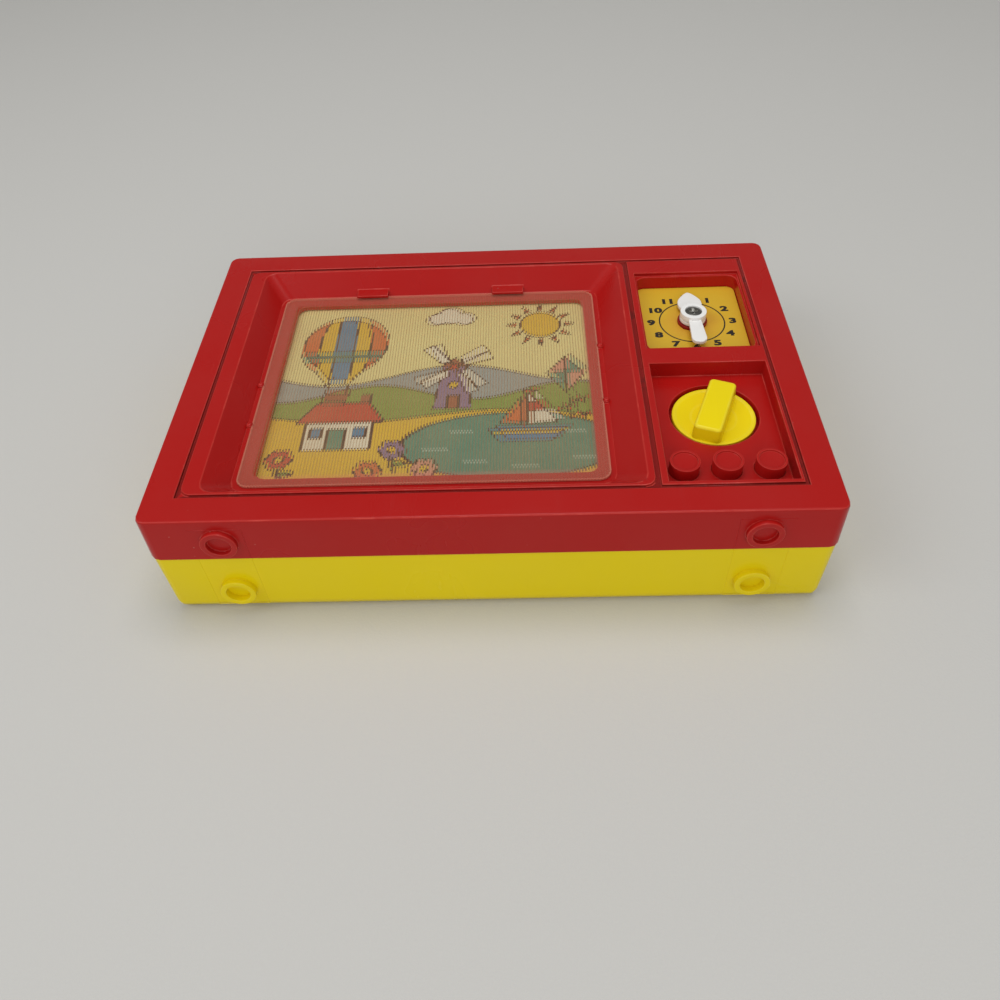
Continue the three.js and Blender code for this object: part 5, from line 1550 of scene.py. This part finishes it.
def bar_shape(x0, y0, x1, y1, thick):
    """A straight bar between two points."""
    length = math.hypot(x1 - x0, y1 - y0)
    nx, ny = -(y1 - y0) / length * thick / 2, (x1 - x0) / length * thick / 2
    return polygon((x0 + nx, y0 + ny), (x1 + nx, y1 + ny), (x1 - nx, y1 - ny), (x0 - nx, y0 - ny))

def upright(x0, y0, x1, y1):
    """A rectangle between two of its corners."""
    return polygon((x0, y0), (x1, y0), (x1, y1), (x0, y1))


def tapering(x, low, low_half, high, high_half):
    """A shape with two level ends, each with a half width of its own."""
    return polygon((x - low_half, low), (x + low_half, low), (x + high_half, high), (x - high_half, high))


print("distance of a point 2 mm outside a disc:", float(disc(0, 0, 5)(np.array([7.0]), np.array([0.0]))[0]))

# %% [markdown]
# The inks of such a cheap print are soft, and its paper has gone yellow. Every colour of the print has a
# plain name here, so that a motif below reads like a list of what is on it.

# %% Colours of the print
INKS = {
    "paper": rgb(240, 227, 154),
    "ink": rgb(74, 54, 44),
    "orange": rgb(222, 118, 62),
    "teal": rgb(92, 148, 122),
    "green": rgb(142, 164, 76),
    "grey": rgb(164, 172, 162),
    "lilac": rgb(150, 126, 150),
    "yellow": rgb(236, 196, 58),
    "blue": rgb(84, 140, 168),
    "brown": rgb(168, 100, 70),
    "red": rgb(206, 74, 54),
    "white": rgb(240, 232, 200),
    "foam": rgb(176, 200, 176),
    "pink": rgb(226, 160, 130),
}
INK_NAMES = list(INKS)
print("inks of the print:", len(INK_NAMES))

# %% [markdown]
# The scene on the card is a summer day by a lake: hills, a balloon, a windmill, a sailing boat, a
# cottage, a kite and flowers. Each motif is a list of shapes with their colours, painted from back to
# front, and a shift that says how far it moves between the two pictures.

# %% Motifs of the print


def balloon(x, y):
    whole = either(oval(x, y, 19, 20), tapering(x, y - 13, 13, y - 25, 5))
    return [
        (bar_shape(x - 5, y - 25, x - 4, y - 33, 0.8), "ink"),
        (bar_shape(x + 5, y - 25, x + 4, y - 33, 0.8), "ink"),
        (whole, "orange"),
        (both(whole, oval(x, y - 2, 11.5, 30)), "yellow"),
        (both(whole, oval(x, y - 2, 4.6, 34)), "blue"),
        (both(whole, bar_shape(x - 22, y - 8, x + 22, y - 8, 4.5)), "teal"),
        (tapering(x, y - 32, 5.5, y - 39, 4.5), "brown"),
    ]


def windmill(x, y, turn):
    hub, sail = y + 3, [(4, 0), (18, 0), (18, 5), (5, 4)]
    shapes = [
        (tapering(x, y - 24, 8, hub, 5), "lilac"),
        (polygon((x - 6, hub), (x + 6, hub), (x, y + 9)), "brown"),
        (tapering(x, y - 24, 2.4, y - 16, 2.4), "brown"),
        (disc(x, y - 9, 2.0), "yellow"),
    ]
    for quarter in range(4):
        angle = turn + quarter * math.pi / 2
        ux, uy = math.cos(angle), math.sin(angle)
        corners = [(x + ux * a - uy * b, hub + uy * a + ux * b) for a, b in sail]
        shapes.append((bar_shape(x, hub, x + ux * 18, hub + uy * 18, 1.2), "brown"))
        shapes.append((polygon(*corners), "white"))
    shapes.append((disc(x, hub, 1.7), "red"))
    return shapes


def boat(x, y):
    stripe = [(x - 13.6, y + 0.2), (x + 15.6, y + 0.2), (x + 14.2, y - 1.8), (x - 12.5, y - 1.8)]
    return [
        (bar_shape(x, y, x, y + 26, 1.0), "brown"),
        (polygon((x + 1.2, y + 4), (x + 14, y + 5), (x + 1.2, y + 25)), "white"),
        (polygon((x + 1.2, y + 12), (x + 9, y + 12), (x + 5.4, y + 17.5), (x + 1.2, y + 17.5)), "red"),
        (polygon((x - 1.2, y + 4), (x - 10, y + 5), (x - 1.2, y + 21)), "orange"),
        (polygon((x - 15, y + 2), (x + 17, y + 2), (x + 11, y - 6), (x - 10, y - 6)), "blue"),
        (polygon(*stripe), "yellow"),
        (polygon((x, y + 26), (x + 6, y + 24.5), (x, y + 23)), "red"),
    ]


def cottage(x, y):
    return [
        (upright(x + 7, y + 14, x + 11, y + 24), "brown"),
        (upright(x - 14, y - 9, x + 14, y + 8), "white"),
        (tapering(x, y + 7, 18, y + 19, 11), "red"),
        (upright(x - 4, y - 9, x + 3, y + 3), "teal"),
        (upright(x + 6, y - 2, x + 11.5, y + 3.5), "blue"),
        (upright(x - 11.5, y - 2, x - 6.5, y + 3.5), "blue"),
    ]


def kite(x, y):
    tail = [(x, y - 13), (x + 4, y - 18), (x - 1, y - 23), (x + 4, y - 28)]
    shapes = [(bar_shape(*a, *b, 0.7), "ink") for a, b in zip(tail, tail[1:])]
    for cx, cy in tail[1:]:
        bow = [(cx - 3, cy + 1.6), (cx - 3, cy - 1.6), (cx + 3, cy + 1.6), (cx + 3, cy - 1.6)]
        shapes.append((polygon(*bow), "red"))
    shapes.append((polygon((x, y + 11), (x + 8, y), (x, y - 13), (x - 8, y)), "pink"))
    shapes.append((polygon((x, y + 11), (x + 8, y), (x, y)), "teal"))
    shapes.append((polygon((x, y - 13), (x - 8, y), (x, y)), "teal"))
    return shapes


def flower(x, y, colour):
    size = 3.4
    angles = [2 * math.pi * i / 6 for i in range(6)]
    petals = [disc(x + size * math.cos(a), y + size * math.sin(a), size * 0.62) for a in angles]
    return [
        (bar_shape(x, y, x + 1, y - 12, 1.2), "green"),
        (oval(x + 3.4, y - 8, 3.0, 1.3), "green"),
        (either(*petals), colour),
        (disc(x, y, size * 0.55), "yellow"),
    ]


def cloud(x, y, size):
    left, middle = disc(x - size, y, size * 0.7), disc(x, y + size * 0.4, size)
    right = disc(x + size * 1.1, y, size * 0.75)
    return [(either(left, middle, right), "white")]


def sun(x, y, radius):
    near, far, half_angle = radius + 2, radius + 6.5, 0.11
    rays = []
    for i in range(12):
        a = 2 * math.pi * i / 12
        rays.append(polygon(
            (x + near * math.cos(a - half_angle), y + near * math.sin(a - half_angle)),
            (x + far * math.cos(a), y + far * math.sin(a)),
            (x + near * math.cos(a + half_angle), y + near * math.sin(a + half_angle)),
        ))
    return [(either(*rays), "orange"), (disc(x, y, radius), "yellow")]


def lake(x, y):
    shore = oval(x, y, 44, 19)
    places = ((-20, 8), (-30, -2), (-14, -9), (6, -12), (26, 7), (30, -8))
    waves = [bar_shape(x + a - 5, y + b, x + a + 5, y + b, 0.9) for a, b in places]
    return [(shore, "teal"), *[(both(shore, wave), "foam") for wave in waves]]


MOTIFS = [
    ((0.5, 1.3), sun(46, 40, 9)),
    ((1.8, 0.8), cloud(4, 46, 6)),
    ((0.6, 1.2), [(below(6, 6, 17, 1.0), "grey")]),
    ((0.4, -1.3), [(below(-4, 5, 13, 3.4), "green")]),
    ((0.5, 1.2), windmill(8, 8, 0.35)),
    ((0.6, -1.2), [(below(-19, 3, 19, 0.2), "yellow")]),
    ((0.6, -1.2), lake(32, -37)),
    ((3.2, 1.6), boat(38, -30)),
    ((0.6, 1.2), cottage(-38, -30)),
    ((1.0, 3.4), balloon(-42, 27)),
    ((2.6, 2.2), kite(56, 6)),
    ((1.2, 1.4), flower(-60, -44, "red")),
    ((-1.2, 1.4), flower(-14, -40, "lilac")),
    ((1.2, -1.4), flower(-24, -50, "orange")),
    ((1.0, 1.6), flower(-2, -51, "pink")),
]
WINDMILL = 4
print("motifs:", len(MOTIFS))

# %% [markdown]
# The motifs are sampled on a grid of columns. Along a column, equal neighbours are run together, so each
# column becomes one thin bar with as few faces as it has changes of colour. A colour attribute carries
# the inks. Lengths in the motifs are millimetres, so the widths that are used with them are too.

# %% Print the columns
INK_WIDTH = 0.75
SAMPLE = 0.3
COLUMN_SHARE = 0.5
PRINT_MARGIN = 0.6 * MM
windmill_turned = windmill(8, 8, 0.62)


def painted(columns, rows, second):
    """The number of the ink at every sample, on the first or on the second of the two pictures."""
    px, py = np.meshgrid(columns, rows)
    inks = np.full(px.shape, INK_NAMES.index("paper"))
    for number, ((dx, dy), shapes) in enumerate(MOTIFS):
        if second and number == WINDMILL:
            shapes = windmill_turned
        right, up = (dx, dy) if second else (0, 0)
        for shape, colour in shapes:
            distance = shape(px - right, py - up)
            inks[distance < 0] = INK_NAMES.index(colour)
            if colour not in ("ink", "foam"):
                inks[np.abs(distance) < INK_WIDTH / 2] = INK_NAMES.index("ink")
    return inks


def printed_columns(name, low, high, top):
    """Thin bars side by side, each a column of the print, with a colour on every face corner."""
    width, height = high[0] - low[0], high[1] - low[1]
    middle = ((low[0] + high[0]) / 2, (low[1] + high[1]) / 2)
    column = RIB_PITCH * COLUMN_SHARE
    count = int(width / column)
    columns = (np.arange(count) - (count - 1) / 2) * column / MM
    rows = np.arange(int(height / MM / SAMPLE)) * SAMPLE - height / MM / 2
    odd, even = painted(columns, rows, False), painted(columns, rows, True)
    inks = np.where(np.arange(count) % 2 == 0, odd, even)
    vertices, faces, colours = [], [], []
    for k, x in enumerate(columns):
        x0, x1 = middle[0] + (x * MM - column / 2), middle[0] + (x * MM + column / 2)
        changes = [0, *(np.flatnonzero(np.diff(inks[:, k])) + 1), len(rows)]
        steps = [middle[1] + (-height / MM / 2 + SAMPLE * c) * MM for c in changes]
        first, n = len(vertices), len(steps)
        vertices += [(side, y, top + PRINT_THICK) for side in (x0, x1) for y in steps]
        vertices += [(x0, steps[0], top), (x1, steps[0], top), (x1, steps[-1], top), (x0, steps[-1], top)]
        left = list(range(first, first + n))
        right = list(range(first + n, first + 2 * n))
        a, b, c, d = range(first + 2 * n, first + 2 * n + 4)
        for i in range(n - 1):
            faces.append((left[i], right[i], right[i + 1], left[i + 1]))
            colours += [INKS[INK_NAMES[inks[changes[i], k]]]] * 4
        ends = [(a, b, right[0], left[0]), (c, d, left[-1], right[-1])]
        for face in ((*left, d, a), (*reversed(right), b, c), *ends, (a, d, c, b)):
            faces.append(face)
            colours += [INKS["paper"]] * len(face)
    mesh = bpy.data.meshes.new(name)
    mesh.from_pydata(vertices, [], faces)
    layer = mesh.color_attributes.new("print", "FLOAT_COLOR", "CORNER")
    layer.data.foreach_set("color", np.array(colours, np.float32).ravel())
    return mesh


def print_finish():
    """Ink on card: the printed colour, which cheap print lays on unevenly."""
    finish = Finish("printed_picture", roughness=0.6)
    place = finish.place()
    thin = finish.ranged(finish.noise(place, 60, 5), 0.3, 0.7, 0, 0.14)
    uneven = finish.mixed(thin, finish.mark("print", "Color"), rgb(206, 186, 130))
    dusty = finish.group(dust_group, Vector=place, Colour=uneven, Film=0.03, Specks=0.1)
    finish.show(Base_Color=dusty["Colour"])
    return finish.material


card_low, card_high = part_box("picture_card")
picture_mesh = printed_columns(
    "picture_print",
    (card_low[0] + PRINT_MARGIN, card_low[1] + PRINT_MARGIN),
    (card_high[0] - PRINT_MARGIN, card_high[1] - PRINT_MARGIN),
    card_high[2],
)
link_piece("picture_print", picture_mesh, print_finish(), "picture")
print("print faces:", len(picture_mesh.polygons))

# %% [markdown]
# The pieces that stay as the CAD draws them get their finishes here. Most of them are inside, where no
# view from outside shows them, but a good model is finished inside as well.

# %% Finishes for the CAD nodes that stay
paper_board = plastic(
    "picture_board", rgb(226, 212, 160), rgb(214, 198, 146), rgb(232, 222, 186), 0.7,
    scuffs=0.1, wear=0.1,
)
FINISH_OF_SLOT = {
    "red_plastic": red_plastic,
    "yellow_plastic": yellow_plastic,
    "white_plastic": white_plastic,
    "cream_plastic": cream_plastic,
    "clear_plastic": clear_plastic,
    "clock_card": clock_card_finish,
    "picture_card": paper_board,
    "steel": steel,
    "dark_steel": dark_steel,
    "brass": brass,
}
slot_of_node = {part["node"]: part["material_slot"] for part in frame["record"]["subparts"]}
for name, node in nodes.items():
    for holder in node.material_slots:
        holder.material = FINISH_OF_SLOT[slot_of_node[name]]
print("nodes with a finish:", len(slot_of_node))
